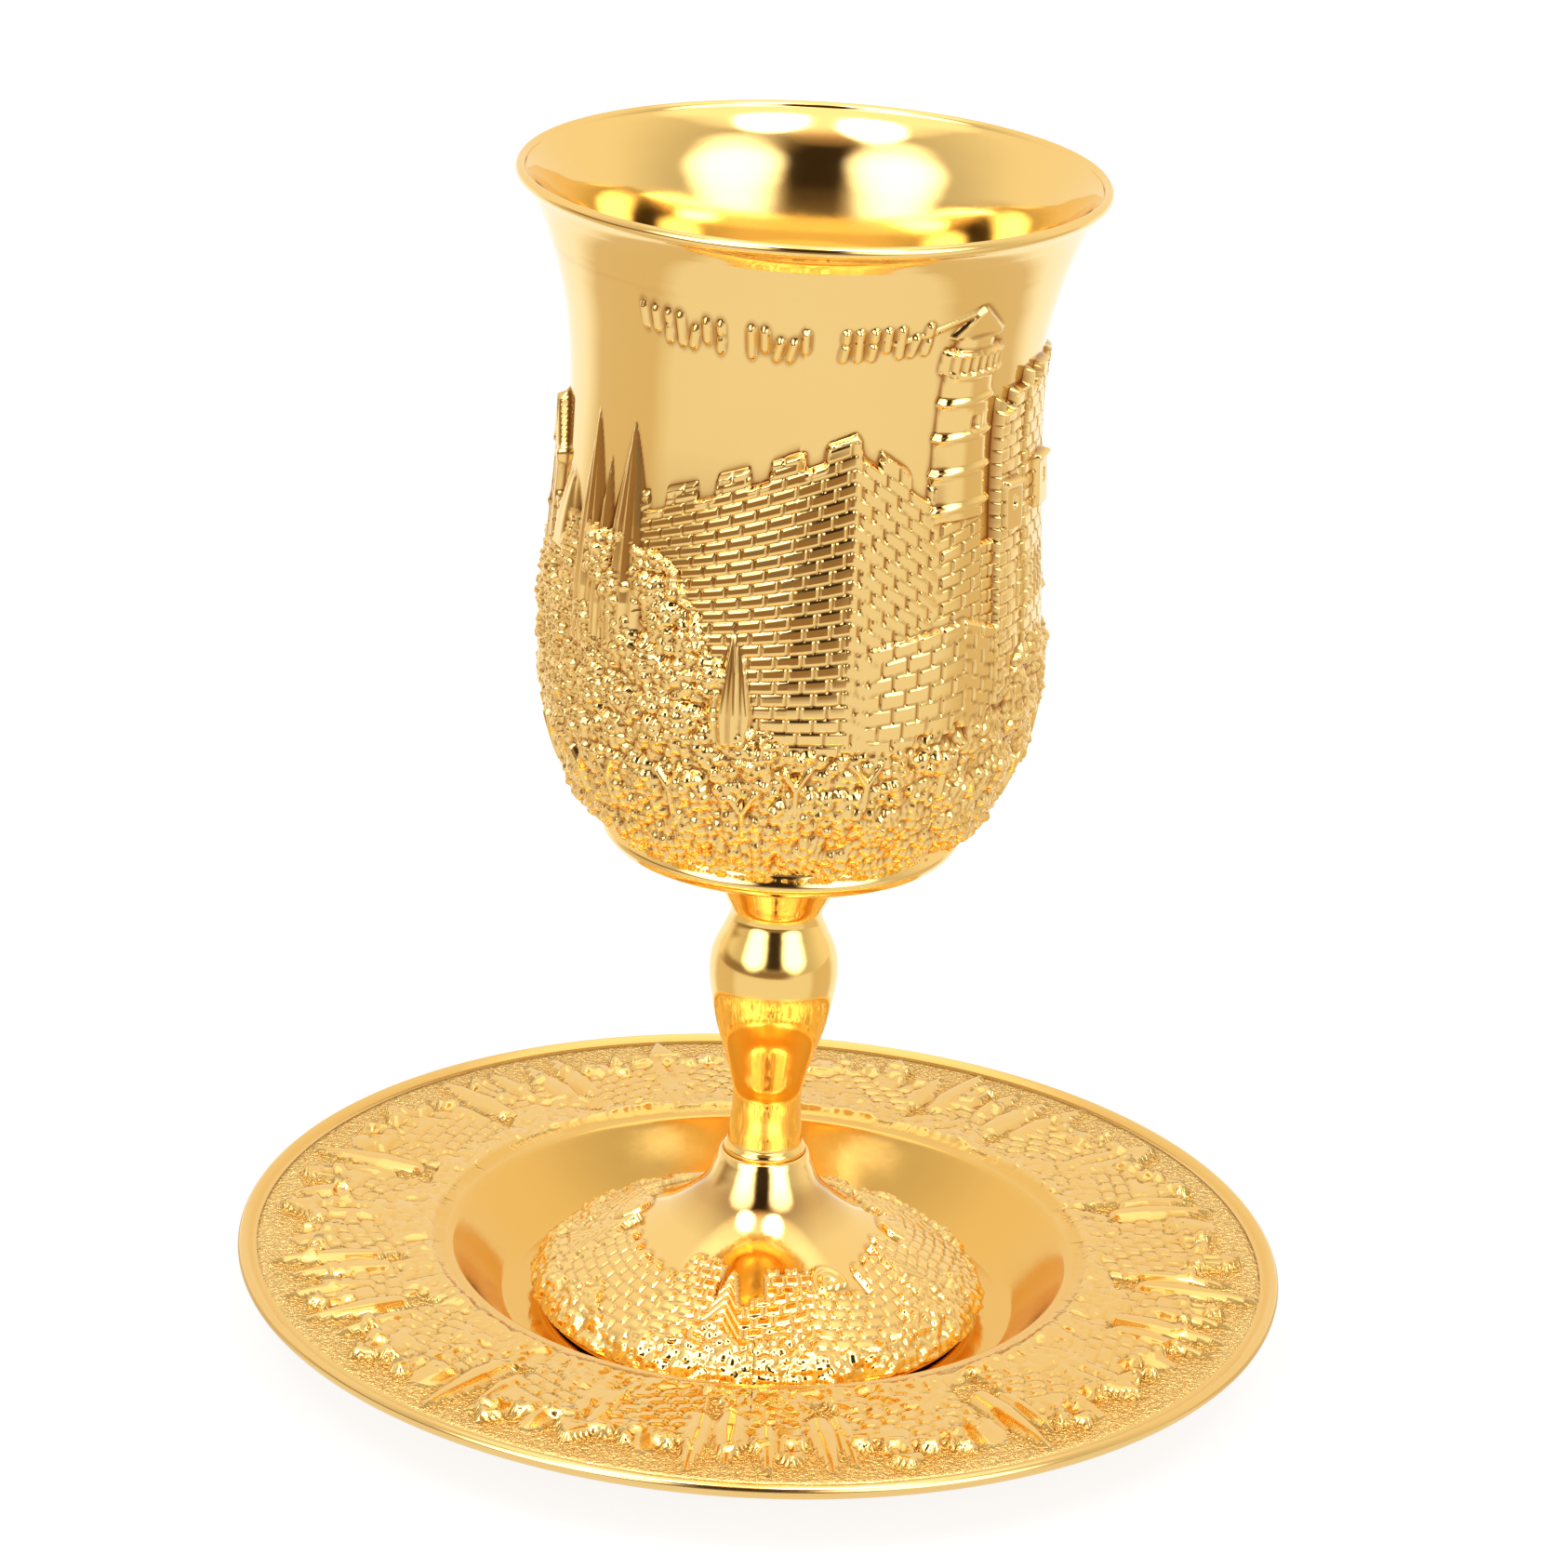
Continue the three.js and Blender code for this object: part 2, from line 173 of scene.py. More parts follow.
# %% [markdown]
# ## The bowl
#
# The bowl is a bell: narrow at a polished ring, swelling to a belly, drawn in to a waist and
# flaring to a rolled lip. The town is carved on its outside only. The plain bell is turned
# first, so that the polished upper part stays perfectly smooth, and the town is a skin of
# its own that comes out of it.

# %% Sizes of the bowl, in mm, from the CAD node
bowl_low, bowl_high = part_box("bowl")
bowl_bottom = bowl_low.z / MM
bowl_tall = (bowl_high.z - bowl_low.z) / MM
rim_radius = 37.5
belly_radius = 31.2
waist_radius = 29.75
ring_radius = 23.5
ring_tall = 3.7
wall = 1.7
floor_thick = 4.4
bell_top = 0.955 * bowl_tall
bowl_run = [
    (ring_tall, ring_radius - 0.8),
    (0.09 * bowl_tall, ring_radius + 2.6),
    (0.13 * bowl_tall, belly_radius - 3.1),
    (0.19 * bowl_tall, belly_radius - 1.1),
    (0.28 * bowl_tall, belly_radius),
    (0.41 * bowl_tall, belly_radius - 0.2),
    (0.66 * bowl_tall, waist_radius),
    (0.78 * bowl_tall, waist_radius + 0.6),
    (0.87 * bowl_tall, waist_radius + 2.4),
    (0.93 * bowl_tall, waist_radius + 4.3),
    (bell_top, waist_radius + 5.35),
]


def bell_radius(height):
    """Radius of the plain bell at a height above the bowl's foot."""
    return run_through(bowl_run, height)


print("bowl", round(bowl_tall, 1), "mm tall, rim", 2 * rim_radius, "mm across")

# %% Turn the plain bell
half_ring = ring_tall / 2
under = [(0, 0), (ring_radius - half_ring, 0)]
ring = smooth_line(
    [
        (ring_radius - half_ring, 0), (ring_radius - 0.45 * half_ring, 0.25 * half_ring),
        (ring_radius, half_ring), (ring_radius - 0.35 * half_ring, 1.7 * half_ring),
        (ring_radius - 0.8, ring_tall),
    ],
    6,
)
bell_heights = np.linspace(ring_tall, bell_top, 60)
bell = np.column_stack([bell_radius(bell_heights), bell_heights])
# the lip and the upper inside: how far in from the rim's edge, and how far down from its top
lip_places = [
    (1.45, 2.6), (0.8, 1.85), (0.42, 1.55), (0, 0.95), (0.15, 0.35), (0.65, 0), (1.15, 0.3),
    (1.35, 0.7), (1.35, 0.7), (1.45, 0.75),
]
flare_places = [(1.45, 0.75), (2.3, 1.5), (3.55, 3.0)]
# the throat: how far out from the waist's radius, and how far down from the rim's top
throat_places = [
    (3.2, 4.5), (2.35, 6.0), (1.7, 7.5), (1.2, 9.0), (0.75, 10.6), (0, 13.6), (-0.65, 16.6),
    (-1.1, 19.6),
]
lip = smooth_line(
    [tuple(bell[-1]), *[(rim_radius - inward, bowl_tall - down) for inward, down in lip_places]], 6
)
inside = smooth_line(
    [
        *[(rim_radius - inward, bowl_tall - down) for inward, down in flare_places],
        *[(waist_radius + outward, bowl_tall - down) for outward, down in throat_places],
        (waist_radius - wall, 0.66 * bowl_tall), (belly_radius - 0.35 - wall, 0.41 * bowl_tall),
        (belly_radius - wall, 0.28 * bowl_tall), (belly_radius - 1.3 - wall, 0.19 * bowl_tall),
        (ring_radius + 2.0, 0.12 * bowl_tall), (ring_radius * 0.85, floor_thick + 3.0),
        (ring_radius * 0.45, floor_thick + 0.5), (0, floor_thick),
    ],
    6,
)
bell_outline = np.vstack([under, ring[1:], bell[1:], lip, inside[1:]])
bell_outline[:, 1] += bowl_bottom
bowl_steps = 200
bowl = turned_piece("bowl_plain", bell_outline, bowl_steps)
print("plain bell:", triangles(bowl), "triangles")

# %% [markdown]
# ## Carving by heights
#
# Low relief is a surface that is nowhere undercut, so it can be told as one number at each
# place: how far it stands out. A fine grid is wrapped round the bowl, and each point is moved
# out by that number. The helpers below give the small shapes that a chaser would cut:
# bricks, leaves, ridges and mounds. Everything is seeded, so each run carves the same town.

# %% Small helpers for angles, blends and chance
chance = np.random.default_rng(18).random((128, 128))


def pick(column, row, kind=0):
    """A fixed number from 0 to 1 for each cell of a pattern."""
    i = np.asarray(column).astype(int) % 128
    j = (np.asarray(row).astype(int) + 37 * kind) % 128
    return chance[i, j]


def soft_step(value):
    """0 below 0, 1 above 1, and a smooth slope in between."""
    t = np.clip(value, 0, 1)
    return t * t * (3 - 2 * t)


def past(angle, start):
    """Degrees from start on to angle, from 0 to 360."""
    return (angle - start) % 360


def beside(angle, centre, radius):
    """Millimetres along the surface from a centre line to an angle."""
    return np.radians((angle - centre + 180) % 360 - 180) * radius


def line_at(angle, knots):
    """Height of a line that runs round the piece through (angle, height) knots."""
    spots = sorted((spot % 360, height) for spot, height in knots)
    return np.interp(angle % 360, *zip(*spots), period=360)


print("from 350 on to 10 is", past(10, 350), "degrees")


# %% Bricks, leaves, ridges and mounds
def bricks(along, course, brick_mm, course_mm, slant=0.0, bed=1.0, edge_mm=0.25):
    """Heights from 0 in the joints to 1 on the bricks. One unit of along is one brick.

    With a slant, the upper edge of each brick lies that share of its height further back.
    bed is the depth of the level joints as a share of the upright ones.
    """
    row = np.floor(course)
    place = along + 0.5 * (row % 2) + 0.1 * pick(row, 3)
    column = np.floor(place)
    to_bed = (0.5 - np.abs(course - row - 0.5)) * course_mm / edge_mm
    to_head = (0.5 - np.abs(place - column - 0.5)) * brick_mm / edge_mm / 1.3
    joints = np.maximum(bed * (1 - soft_step(to_bed)), 1 - soft_step(to_head))
    return (1 - joints) * (1 - slant * (course - row)) * (0.86 + 0.14 * pick(column, row, 1))


def pebbles(along, height, turn_count, size, kind=0):
    """Rounded bumps from 0 to 1, one in each cell of a grid with turn_count cells a turn."""
    u = along
    v = height / size
    nearest = np.full(np.broadcast(u, v).shape, 9.0)
    tint = np.zeros(nearest.shape)
    for i in (-1, 0, 1):
        for j in (-1, 0, 1):
            column = np.floor(u) + i
            row = np.floor(v) + j
            wrapped = column % turn_count
            centre_u = column + 0.5 + 0.75 * (pick(wrapped, row, kind) - 0.5)
            centre_v = row + 0.5 + 0.75 * (pick(wrapped, row, kind + 1) - 0.5)
            away = np.hypot(u - centre_u, v - centre_v)
            closer = away < nearest
            nearest = np.where(closer, away, nearest)
            tint = np.where(closer, pick(wrapped, row, kind + 2), tint)
    return np.clip(1 - (nearest / 0.7) ** 2, 0, 1) ** 0.75 * (0.4 + 0.6 * tint)


def leaves(angle, height, radius, size=1.3, kind=0):
    """Crowded leaf clumps: lumps of two sizes with small knobs all over them, in mm."""
    count = round(math.tau * radius / size)
    along = angle / 360 * count
    crowns = pebbles(along / 4, height, round(count / 4), size * 3.8, kind + 3)
    small = pebbles(along, height, count, size, kind)
    fine = pebbles(along * 2, height, 2 * count, size / 2, kind + 6)
    return 1.1 * crowns + 0.75 * small + 0.2 * fine


def ridge(x, y, start, end, half_width):
    """A ridge between two points: 1 on its crest, 0 along its edge and less outside."""
    dx, dy = end[0] - start[0], end[1] - start[1]
    share = np.clip(((x - start[0]) * dx + (y - start[1]) * dy) / (dx * dx + dy * dy), 0, 1)
    away = np.hypot(x - start[0] - share * dx, y - start[1] - share * dy)
    return np.maximum(1 - (away / half_width) ** 2, -1)


def band(y, middle, half):
    """A soft band: 1 along its middle, nearly 0 at twice its half width."""
    return np.exp(-(((y - middle) / half) ** 2))


def mound(x, half_width):
    """A rounded section: 1 in the middle, 0 at plus and minus half_width and less outside."""
    return np.maximum(1 - (x / half_width) ** 2, -1)


print("a mound halfway down its side:", mound(0.5, 1), "and at its edge:", mound(1, 1))


# %% [markdown]
# ## The figures of the town
#
# The same few figures come back on the bowl, the foot and the border: walls with merlons,
# cypresses drawn out to a point, domes, square gate towers and round towers with cornices.
# Each is a function of x, the millimetres beside its centre line, and y, its share of the
# figure's height from 0 to 1, so one function serves everywhere.

# %% Trees and roofs
def ends(y, sharpness=25):
    """1 along a figure, falling through 0 at its foot and its top."""
    return np.clip(np.minimum(y, 1 - y) * sharpness, -1, 1)


def cypress(x, y, half):
    """A flame-shaped tree with grooves that run together at its tip."""
    width = half * np.interp(y, [0, 0.06, 0.28, 0.6, 0.85, 1], [0.35, 0.8, 1, 0.66, 0.3, 0.06])
    thick = (width / half) ** 0.6
    strands = 0.5 + 0.5 * np.cos(x / width * math.tau * 2.7 + 0.8)
    body = mound(x, width)
    carved = thick * (1.25 * body - 0.34 * strands * np.clip(body, 0, 0.6)) - 0.1
    return np.minimum(carved, 1.4 * ends(y, 12))


def flame(x, y, half):
    """A smooth pointed tree, as on the saucer."""
    width = half * np.interp(y, [0, 0.08, 0.35, 0.7, 0.9, 1], [0.3, 0.75, 1, 0.62, 0.28, 0.05])
    crease = band(x / half, 0, 0.12)
    carved = (width / half) ** 0.6 * (1.15 * mound(x, width) - 0.12 * crease)
    return np.minimum(carved, 1.4 * ends(y, 12))


def cupola(x, y, half):
    """A domed roof with panels and a rim."""
    body = 1 - (x / half) ** 2 - np.clip(y, 0, 2) ** 2
    panels = 0.5 + 0.5 * np.cos(x / half / np.sqrt(np.clip(1.05 - y, 0.05, 1)) * math.pi * 3)
    carved = 1.15 * body - 0.1 * panels * (body > 0.1) + 0.12 * band(y, 0.07, 0.05)
    return np.clip(np.minimum(carved, 12 * y), -1, 1.3)


def gate_tower(x, y, half):
    """A square tower with a string course, a window and a pointed roof."""
    width = half * np.interp(y, [0, 0.71, 0.73, 0.77, 0.79, 1], [1, 0.86, 1.12, 1.12, 0.95, 0.05])
    side = np.clip((width - np.abs(x)) / 0.4, -1, 1)
    window = np.clip(ridge(x / half, y, (0, 0.5), (0, 0.58), 0.2), 0, 1)
    courses = band(y, 0.75, 0.025) + 0.7 * band(y, 0.38, 0.02)
    flat = np.where(y > 0.78, 0.55 + 0.5 * mound(x, width), 0.8 + 0.25 * courses)
    return np.minimum(side * flat, 1.3 * ends(y)) - 0.5 * window * (side > 0)


def bay(x, y, half):
    """A flat panel that stands out of a wall, with a small window and a thick top edge."""
    side = np.clip((half - np.abs(x)) / 0.3, -1, 1)
    window = np.clip(ridge(x / half, 3 * y, (0.1, 1.5), (0.1, 1.8), 0.24), 0, 1)
    face = side * (0.85 + 0.2 * band(y, 0.92, 0.05))
    return np.minimum(face, 1.2 * ends(y, 30)) - 0.35 * window * (side > 0)


def round_tower(x, y, half, cornices):
    """A tapering shaft with cornices, a ribbed gallery, a drum and a low roof."""
    knots = [0.7, 0.8, 0.806, 0.86, 0.866, 0.88, 1]
    upper = np.interp(y, knots, [1.02, 0.98, 0.62, 0.58, 0.96, 0.9, 0.05])
    bend = y - 0.016 * x / half + 0.012 * (x / half) ** 2
    rings = sum(band(bend, 0.08 + 0.165 * i, 0.016) for i in range(cornices))
    width = half * np.where(y < 0.7, (0.93 - 0.2 * y) * (1 + 0.1 * rings), upper)
    body = mound(x, width)
    round_body = np.sign(body) * np.sqrt(np.abs(body))
    flat_body = np.clip(body * 3, -1, 1) * (0.8 + 0.2 * np.clip(body, 0, 1))
    ribs = 0.5 + 0.5 * np.cos(x / half * math.pi * 8.0)
    gallery = soft_step(ends((y - 0.705) / 0.09, 9))
    window, frame_it = (
        np.clip(ridge(x / half, 6 * y, (0.1, 2.7), (0.1, 2.9), wide), 0, 1) for wide in (0.16, 0.3)
    )
    sill = band(bend, 0.7, 0.014) + 0.6 * band(y, 0.803, 0.008)
    stone = 0.16 * rings + 0.16 * sill - 0.18 * ribs * gallery + 0.08 * frame_it - 0.25 * window
    stone = np.where(body > 0, stone * np.minimum(4 * body, 1), 0)
    shaft = np.where(y > 0.8, 0.6, 0.95) * round_body + stone
    carved = np.where(y > 0.865, 0.38 * flat_body, shaft)
    return np.minimum(carved, 1.2 * ends(y, 40))


print("a cypress stands", round(float(cypress(0, 0.3, 1)), 2), "of its depth out in its middle")


# %% [markdown]
# ## The town on the bowl
#
# Each stretch of wall runs from one angle to another, with its battlement at one height at
# the start and another at the end, as the CAD solid has it. Walls lean out towards a corner
# and back again, which is how a shallow relief makes a corner look deep. Courses of bricks
# run with the battlement near the top and level out towards the foot.

# %% Walls of the town, in mm above the bowl's foot
brick_depth = 0.45
buried = 0.4
course_mm = 1.75
bricks_a_turn = 60
relief_radius = 30.5
brick_mm = math.tau * relief_radius / bricks_a_turn
merlon_pitch = 360 / 28
merlon_start = -32.2
merlon_width = 0.6 * merlon_pitch
merlon_tall = 0.026 * bowl_tall
wall_foot = 23.0
corner = 13
town_walls = [
    # from, to, battlement at both ends, stand-out at both ends, number of courses, slant of the
    # bricks, depth of the level joints, whether it has merlons, its foot where that isn't wall_foot
    (-40, corner, 51.0, 62.0, 0.5, 1.45, 22, 0.32, 0.9, 1),
    (corner, 36, 62.0, 53.5, 1.45, 0.5, 22, -0.12, 0.3, 1, wall_foot, 17.0),
    (33, 47.5, 54.5, 57.0, 0.6, 1.0, 21, 0.1, 0.7, 0, 20.0, 20.0),
    (47.5, 52.5, 48.5, 48.5, 0.8, 0.8, 18, 0.1, 0.7, 0, 20.0, 20.0),
    (52.5, 64, 65.0, 65.0, 1.7, 1.1, 25, 0.1, 0.8, 1),
    (64, 92, 67.0, 67.0, 1.5, 0.7, 26, 0.1, 0.8, 1),
    (corner, 42, 36.5, 39.5, 1.2, 1.65, 7, -0.12, 0.5, 0),
    (42, 68, 39.5, 34.5, 1.65, 0.95, 11, 0.1, 0.55, 0, 20.0, 15.0),
    (92, 140, 53.7, 48.3, 0.7, 1.2, 16, 0.3, 0.9, 1),
    (140, 180, 48.3, 57.3, 1.2, 0.6, 17, 0.1, 0.55, 1),
    (180, 220, 57.3, 49.2, 0.6, 1.2, 17, 0.3, 0.9, 1),
    (220, 256, 44.8, 44.8, 1.2, 0.7, 13, 0.1, 0.55, 0),
    (256, 298, 47.4, 47.4, 0.7, 0.9, 14, 0.1, 0.55, 0),
    (298, 320, 46.5, 44.8, 0.9, 0.5, 13, 0.1, 0.55, 0),
]
print(len(town_walls), "stretches of wall, merlons every", round(merlon_pitch, 1), "degrees")


# %% Carve one stretch of wall
def merlons(angle, pitch, start, width):
    """1 on the merlons and 0 in the gaps, with slightly rounded sides."""
    middle = past(angle, start + width / 2 - pitch / 2) % pitch - pitch / 2
    return soft_step((width / 2 - np.abs(middle)) / 0.6 + 0.5)


def wall_face(angle, height, stretch):
    """How far one stretch stands out, in mm; beside and over it, the ground lies deep."""
    start, end, *tops_and_outs = stretch[:6]
    courses, slant, bed, crowned, *feet = stretch[6:]
    share = past(angle, start) / (end - start)
    line, out, foot = (
        a + (b - a) * np.clip(share, 0, 1)
        for a, b in (tops_and_outs[:2], tops_and_outs[2:], feet or (wall_foot, wall_foot))
    )
    top = line + crowned * merlon_tall * merlons(angle, merlon_pitch, merlon_start, merlon_width)
    course = (height - foot) / (line - foot) * courses
    along = angle / 360 * bricks_a_turn % bricks_a_turn
    laid = bricks(along, course, brick_mm, course_mm, slant, bed)
    carved = out + brick_depth * (laid - 1) + 0.16 * band(top - height, 0.35, 0.3)
    edge = soft_step((top - height) / 0.4)
    return np.where(share <= 1, -buried + (carved + buried) * edge, -buried)


crowned = merlons(np.arange(360), merlon_pitch, merlon_start, merlon_width).mean()
print("merlons take up", round(float(crowned), 2), "of a battlement")


# %% [markdown]
# ## Leaves, trees and buildings
#
# Bushes crowd the foot of the walls and climb up between them. Their upper edge is a line
# through a few points, broken up by the leaf clumps themselves. The buildings that rise over
# the walls stand at the angles and heights where the CAD solid has them.

# %% Where the leaves reach, and the figures on the bowl
leaf_line = [
    (-92, 40), (-75, 41), (-60, 46), (-45, 47), (-38, 46.5), (-30, 44), (-25, 41), (-20, 36),
    (-14, 32), (-9, 24.5), (0, 22.5), (30, 23), (50, 25), (67, 33), (80, 31), (92, 28),
    (100, 35), (112, 37), (118, 27), (140, 26), (150, 39), (158, 30), (180, 25), (205, 27),
    (215, 36), (232, 44), (245, 40), (256, 34),
]
bowl_figures = [
    # shape, angle, foot and top as shares of the bowl's height, half width and depth in mm
    (cypress, -57, 0.34, 0.69, 4.2, 1.3),
    (cypress, -51, 0.34, 0.63, 2.6, 1.2),
    (cypress, -43, 0.34, 0.69, 5.0, 1.5),
    (cypress, -12.5, 0.26, 0.45, 4.2, 2.1),
    (cypress, 104, 0.25, 0.6, 3.2, 1.9),
    (cypress, 109, 0.27, 0.53, 2.2, 1.7),
    (cypress, 150, 0.25, 0.5, 3.2, 2.0),
    (cypress, 232, 0.3, 0.64, 3.6, 2.0),
    (cypress, 239, 0.3, 0.57, 2.4, 1.8),
    (cupola, -70, 0.46, 0.585, 4.6, 1.4),
    (cupola, 200, 0.55, 0.66, 4.2, 1.3),
    (gate_tower, -82, 0.3, 0.68, 2.0, 1.3),
    (bay, 57.0, 0.55, 0.625, 2.0, 2.6),
    (bay, 73.5, 0.56, 0.64, 2.2, 2.4),
    (gate_tower, 268, 0.4, 0.66, 2.6, 1.5),
]
tower_figures = [
    # angle, foot and top as shares, half width and depth in mm, number of cornices
    (41, 0.58, 0.893, 4.9, 2.0, 4),
    (122, 0.5, 0.8, 4.9, 1.8, 2),
]


def standing(angle, height, centre, low, high):
    """x beside a figure's centre line in mm, and y as a share of the figure's height."""
    low, high = low * bowl_tall, high * bowl_tall
    radius = bell_radius(np.clip(height, ring_tall, bell_top))
    return beside(angle, centre, radius), (height - low) / (high - low)


print(len(bowl_figures) + len(tower_figures), "figures stand on the bowl")


# %% Trunks, slots and arches
trunk_count = 22


def trunks(angle, height):
    """Forked trunks that show among the lowest leaves."""
    relief = np.full(angle.shape, -1.0)
    for i in range(trunk_count):
        centre = i * 360 / trunk_count - 12 + 6 * (pick(i, 1, 9) - 0.5)
        foot = 11 + 7 * pick(i, 2, 9)
        x = beside(angle, centre, relief_radius)
        lean = 2 * (pick(i, 3, 9) - 0.5)
        root, fork = (0, foot), (lean * 0.4, foot + 3.2)
        left, right = (lean - 1.5, foot + 5.4), (lean + 1.4, foot + 5.9)
        for start, end in ((root, fork), (fork, left), (fork, right)):
            relief = np.maximum(relief, 0.3 + 1.4 * ridge(x, height, start, end, 0.7))
    return relief


def slots(angle, height, centre, count, pitch_mm, low, high):
    """Tall arched openings side by side: 1 inside them."""
    x = beside(angle, centre, relief_radius) + count * pitch_mm / 2
    cell = x % pitch_mm - pitch_mm / 2
    arch_top = high - (cell / pitch_mm * 2) ** 2 * pitch_mm
    return ((x > 0) & (x < count * pitch_mm) & (np.abs(cell) < pitch_mm * 0.3)
            & (height > low) & (height < arch_top))


print(trunk_count, "forked trunks stand among the leaves")


# %% [markdown]
# ## The row of strokes
#
# Over the town the real bowl has a raised row in three groups. Here the row is made of plain
# upright strokes that aren't letters, each a low ridge that comes straight out of the
# polished bell, and a thin line like a hill's crest runs from it towards the tower.

# %% Carve the strokes and the hill's crest
stroke_groups = [(-39.5, -17.5), (-13.5, 1.5), (7, 29)]
strip_low, strip_tall, stroke_pitch = 74.3, 3.6, 1.75
stroke_low, stroke_high = 0.15, strip_tall - 0.15
hill_crest = [(0, 76.0), (3.2, 76.7), (6.5, 77.9), (10.2, 79.2)]
# each kind of upright: its strokes, from and to as (mm aside, mm up)
uprights = [
    [((0, stroke_low), (0, stroke_high))],
    [((-0.1, stroke_low), (0.1, stroke_high * 0.45)),
     ((0.1, stroke_high * 0.75), (0.1, stroke_high))],
    [((0, stroke_high * 0.35), (0, stroke_high))],
    [((-0.25, stroke_low), (0.25, stroke_high * 0.62))],
]


def strip_drop(angle):
    """The line of strokes sags a little in its middle."""
    return 0.9 * ((np.clip((angle + 180) % 360 - 180, -45, 45) + 5) / 35) ** 2 - 0.5


def inscription(angle, height):
    """The strokes and the crest, in mm over the bell, and deep ground all round them."""
    y = height - strip_low - strip_drop(angle)
    relief = np.full(angle.shape, -buried)
    for start, end in stroke_groups:
        x = beside(angle, start, relief_radius)
        wide = math.radians(end - start) * relief_radius
        cells = round(wide / stroke_pitch)
        for i in range(cells):
            middle = (i + 0.5) * wide / cells
            kind = int(pick(i, int(start) + 200, 5) * len(uprights))
            for low, high in uprights[kind]:
                relief = np.maximum(relief, 0.7 * ridge(x - middle, y, low, high, 0.64))
    x = beside(angle, 20, relief_radius)
    for start, end in zip(hill_crest, hill_crest[1:]):
        relief = np.maximum(relief, 0.3 * ridge(x, height, start, end, 0.45))
    return relief


print(len(stroke_groups), "groups of strokes,", strip_tall, "mm tall")


# %% Put the whole town together
skin_top = 83.0
sink_tall = 2.2
sink_depth = 0.03
bare_lift = 0.02
ragged_mm, leaf_mm = 2.4, 1.2
# rows of slots: angle, number, pitch in mm, foot and top in mm above the bowl's foot
slot_rows = [(70, 6, 1.7, 38, 44.5), (84, 4, 1.9, 52, 58)]


def town(angle, height):
    """How far the town stands out of the bell, in mm.

    Bare ground lies a hair's breadth over the bell, and the ends of the skin sink into it.
    """
    relief = np.full(angle.shape, -buried)
    for stretch in town_walls:
        relief = np.maximum(relief, wall_face(angle, height, stretch))
    for row in slot_rows:
        cut = slots(angle, height, *row)
        relief = np.where(cut & (relief > 0), np.minimum(relief, 0.35), relief)
    relief = np.maximum(relief, inscription(angle, height))
    for centre, low, high, half, depth, cornices in tower_figures:
        x, y = standing(angle, height, centre, low, high)
        relief = np.maximum(relief, depth * round_tower(x, y, half, cornices))
    reach = line_at(angle, leaf_line)
    ragged = ragged_mm * (leaves(angle, height, relief_radius, 1.6, 20) - 0.4)
    cover = soft_step((reach + ragged - height) / 0.5)
    swell = 0.125 * np.sin(np.radians(angle) * 23 + height * 0.5)
    thick = 0.06 + swell + leaf_mm * leaves(angle, height, relief_radius)
    relief = relief * (1 - cover) + np.maximum(thick, relief * 0.4) * cover
    for shape, centre, low, high, half, depth in bowl_figures:
        x, y = standing(angle, height, centre, low, high)
        relief = np.maximum(relief, depth * shape(x, y, half))
    relief = np.maximum(np.maximum(relief, trunks(angle, height)), bare_lift)
    cover = soft_step((height - ring_tall - 0.1) / 0.9)
    relief = -buried + (relief + buried) * cover
    sinking = soft_step((height - skin_top + sink_tall) / 2)
    return relief - (sink_depth + relief) * sinking


print("the town's skin reaches", skin_top, "mm above the bowl's foot")


# %% [markdown]
# ## The skin that carries the town
#
# A grid of small squares is wrapped round part of the bowl. Its rows aren't level: they run
# with the foot of the walls, the terrace and the battlement, so that the courses of bricks
# stay crisp. A few more rows go back down inside the bowl's wall, which makes the skin a
# closed shell, and its two ends are capped. Its upper edge sinks into the polished bell, so
# that no line shows there. The front is finer than the back, and is in two pieces, so that
# each stays under 200,000 triangles.

# %% Wrap a grid round a turned piece
def wrapped_grid(name, columns, rows, place, capped=False):
    """A grid whose points go where place(across, up) puts them, both from 0 to 1, in mm."""
    bm = bmesh.new()
    bmesh.ops.create_grid(bm, x_segments=columns, y_segments=rows, size=1)
    share = np.array([(point.co.x, point.co.y) for point in bm.verts]) / 2 + 0.5
    for point, spot in zip(bm.verts, place(share[:, 0], share[:, 1]) * MM):
        point.co = spot
    bmesh.ops.remove_doubles(bm, verts=bm.verts, dist=2e-6)
    bmesh.ops.dissolve_degenerate(bm, edges=bm.edges, dist=1e-6)
    if capped:
        caps = bmesh.ops.holes_fill(bm, edges=bm.edges, sides=0)["faces"]
        for edge in {edge for face in caps for edge in face.edges}:
            edge.smooth = False
    bmesh.ops.recalc_face_normals(bm, faces=bm.faces)
    return mesh_object(name, bm)


def placed(angle, radius, level):
    """Points in mm at angles, radii and levels."""
    turn = np.radians(angle)
    return np.column_stack([radius * np.sin(turn), -radius * np.cos(turn), level])


print("in front, 30 mm out:", placed(np.array([0]), np.array([30]), np.array([0])))


# %% Shape the rows of the bowl's skin
battlement_line = [(-62, 46), (-40, 51), (corner, 62), (36, 53.5), (48, 54), (92, 54), (140, 48.3),
                   (180, 57.3), (220, 49.2), (256, 46)]
low_courses, high_courses = 7, 15
terrace_share = low_courses / (low_courses + high_courses)
terrace_line = [(spot, wall_foot + (top - wall_foot) * terrace_share)
                for spot, top in battlement_line if not corner < spot < 92]
terrace_line += [(42, 39.5), (68, 34.5)]
skin_thick = 0.9
# where the grid's rows lie within one course of bricks
fine_course = np.array([0, 0.1, 0.2, 0.35, 0.5, 0.65, 0.8, 0.9])
even_course = np.array([0, 0.13, 0.27, 0.5, 0.73, 0.87])
plain_course = np.array([0, 0.17, 0.36, 0.64, 0.83])


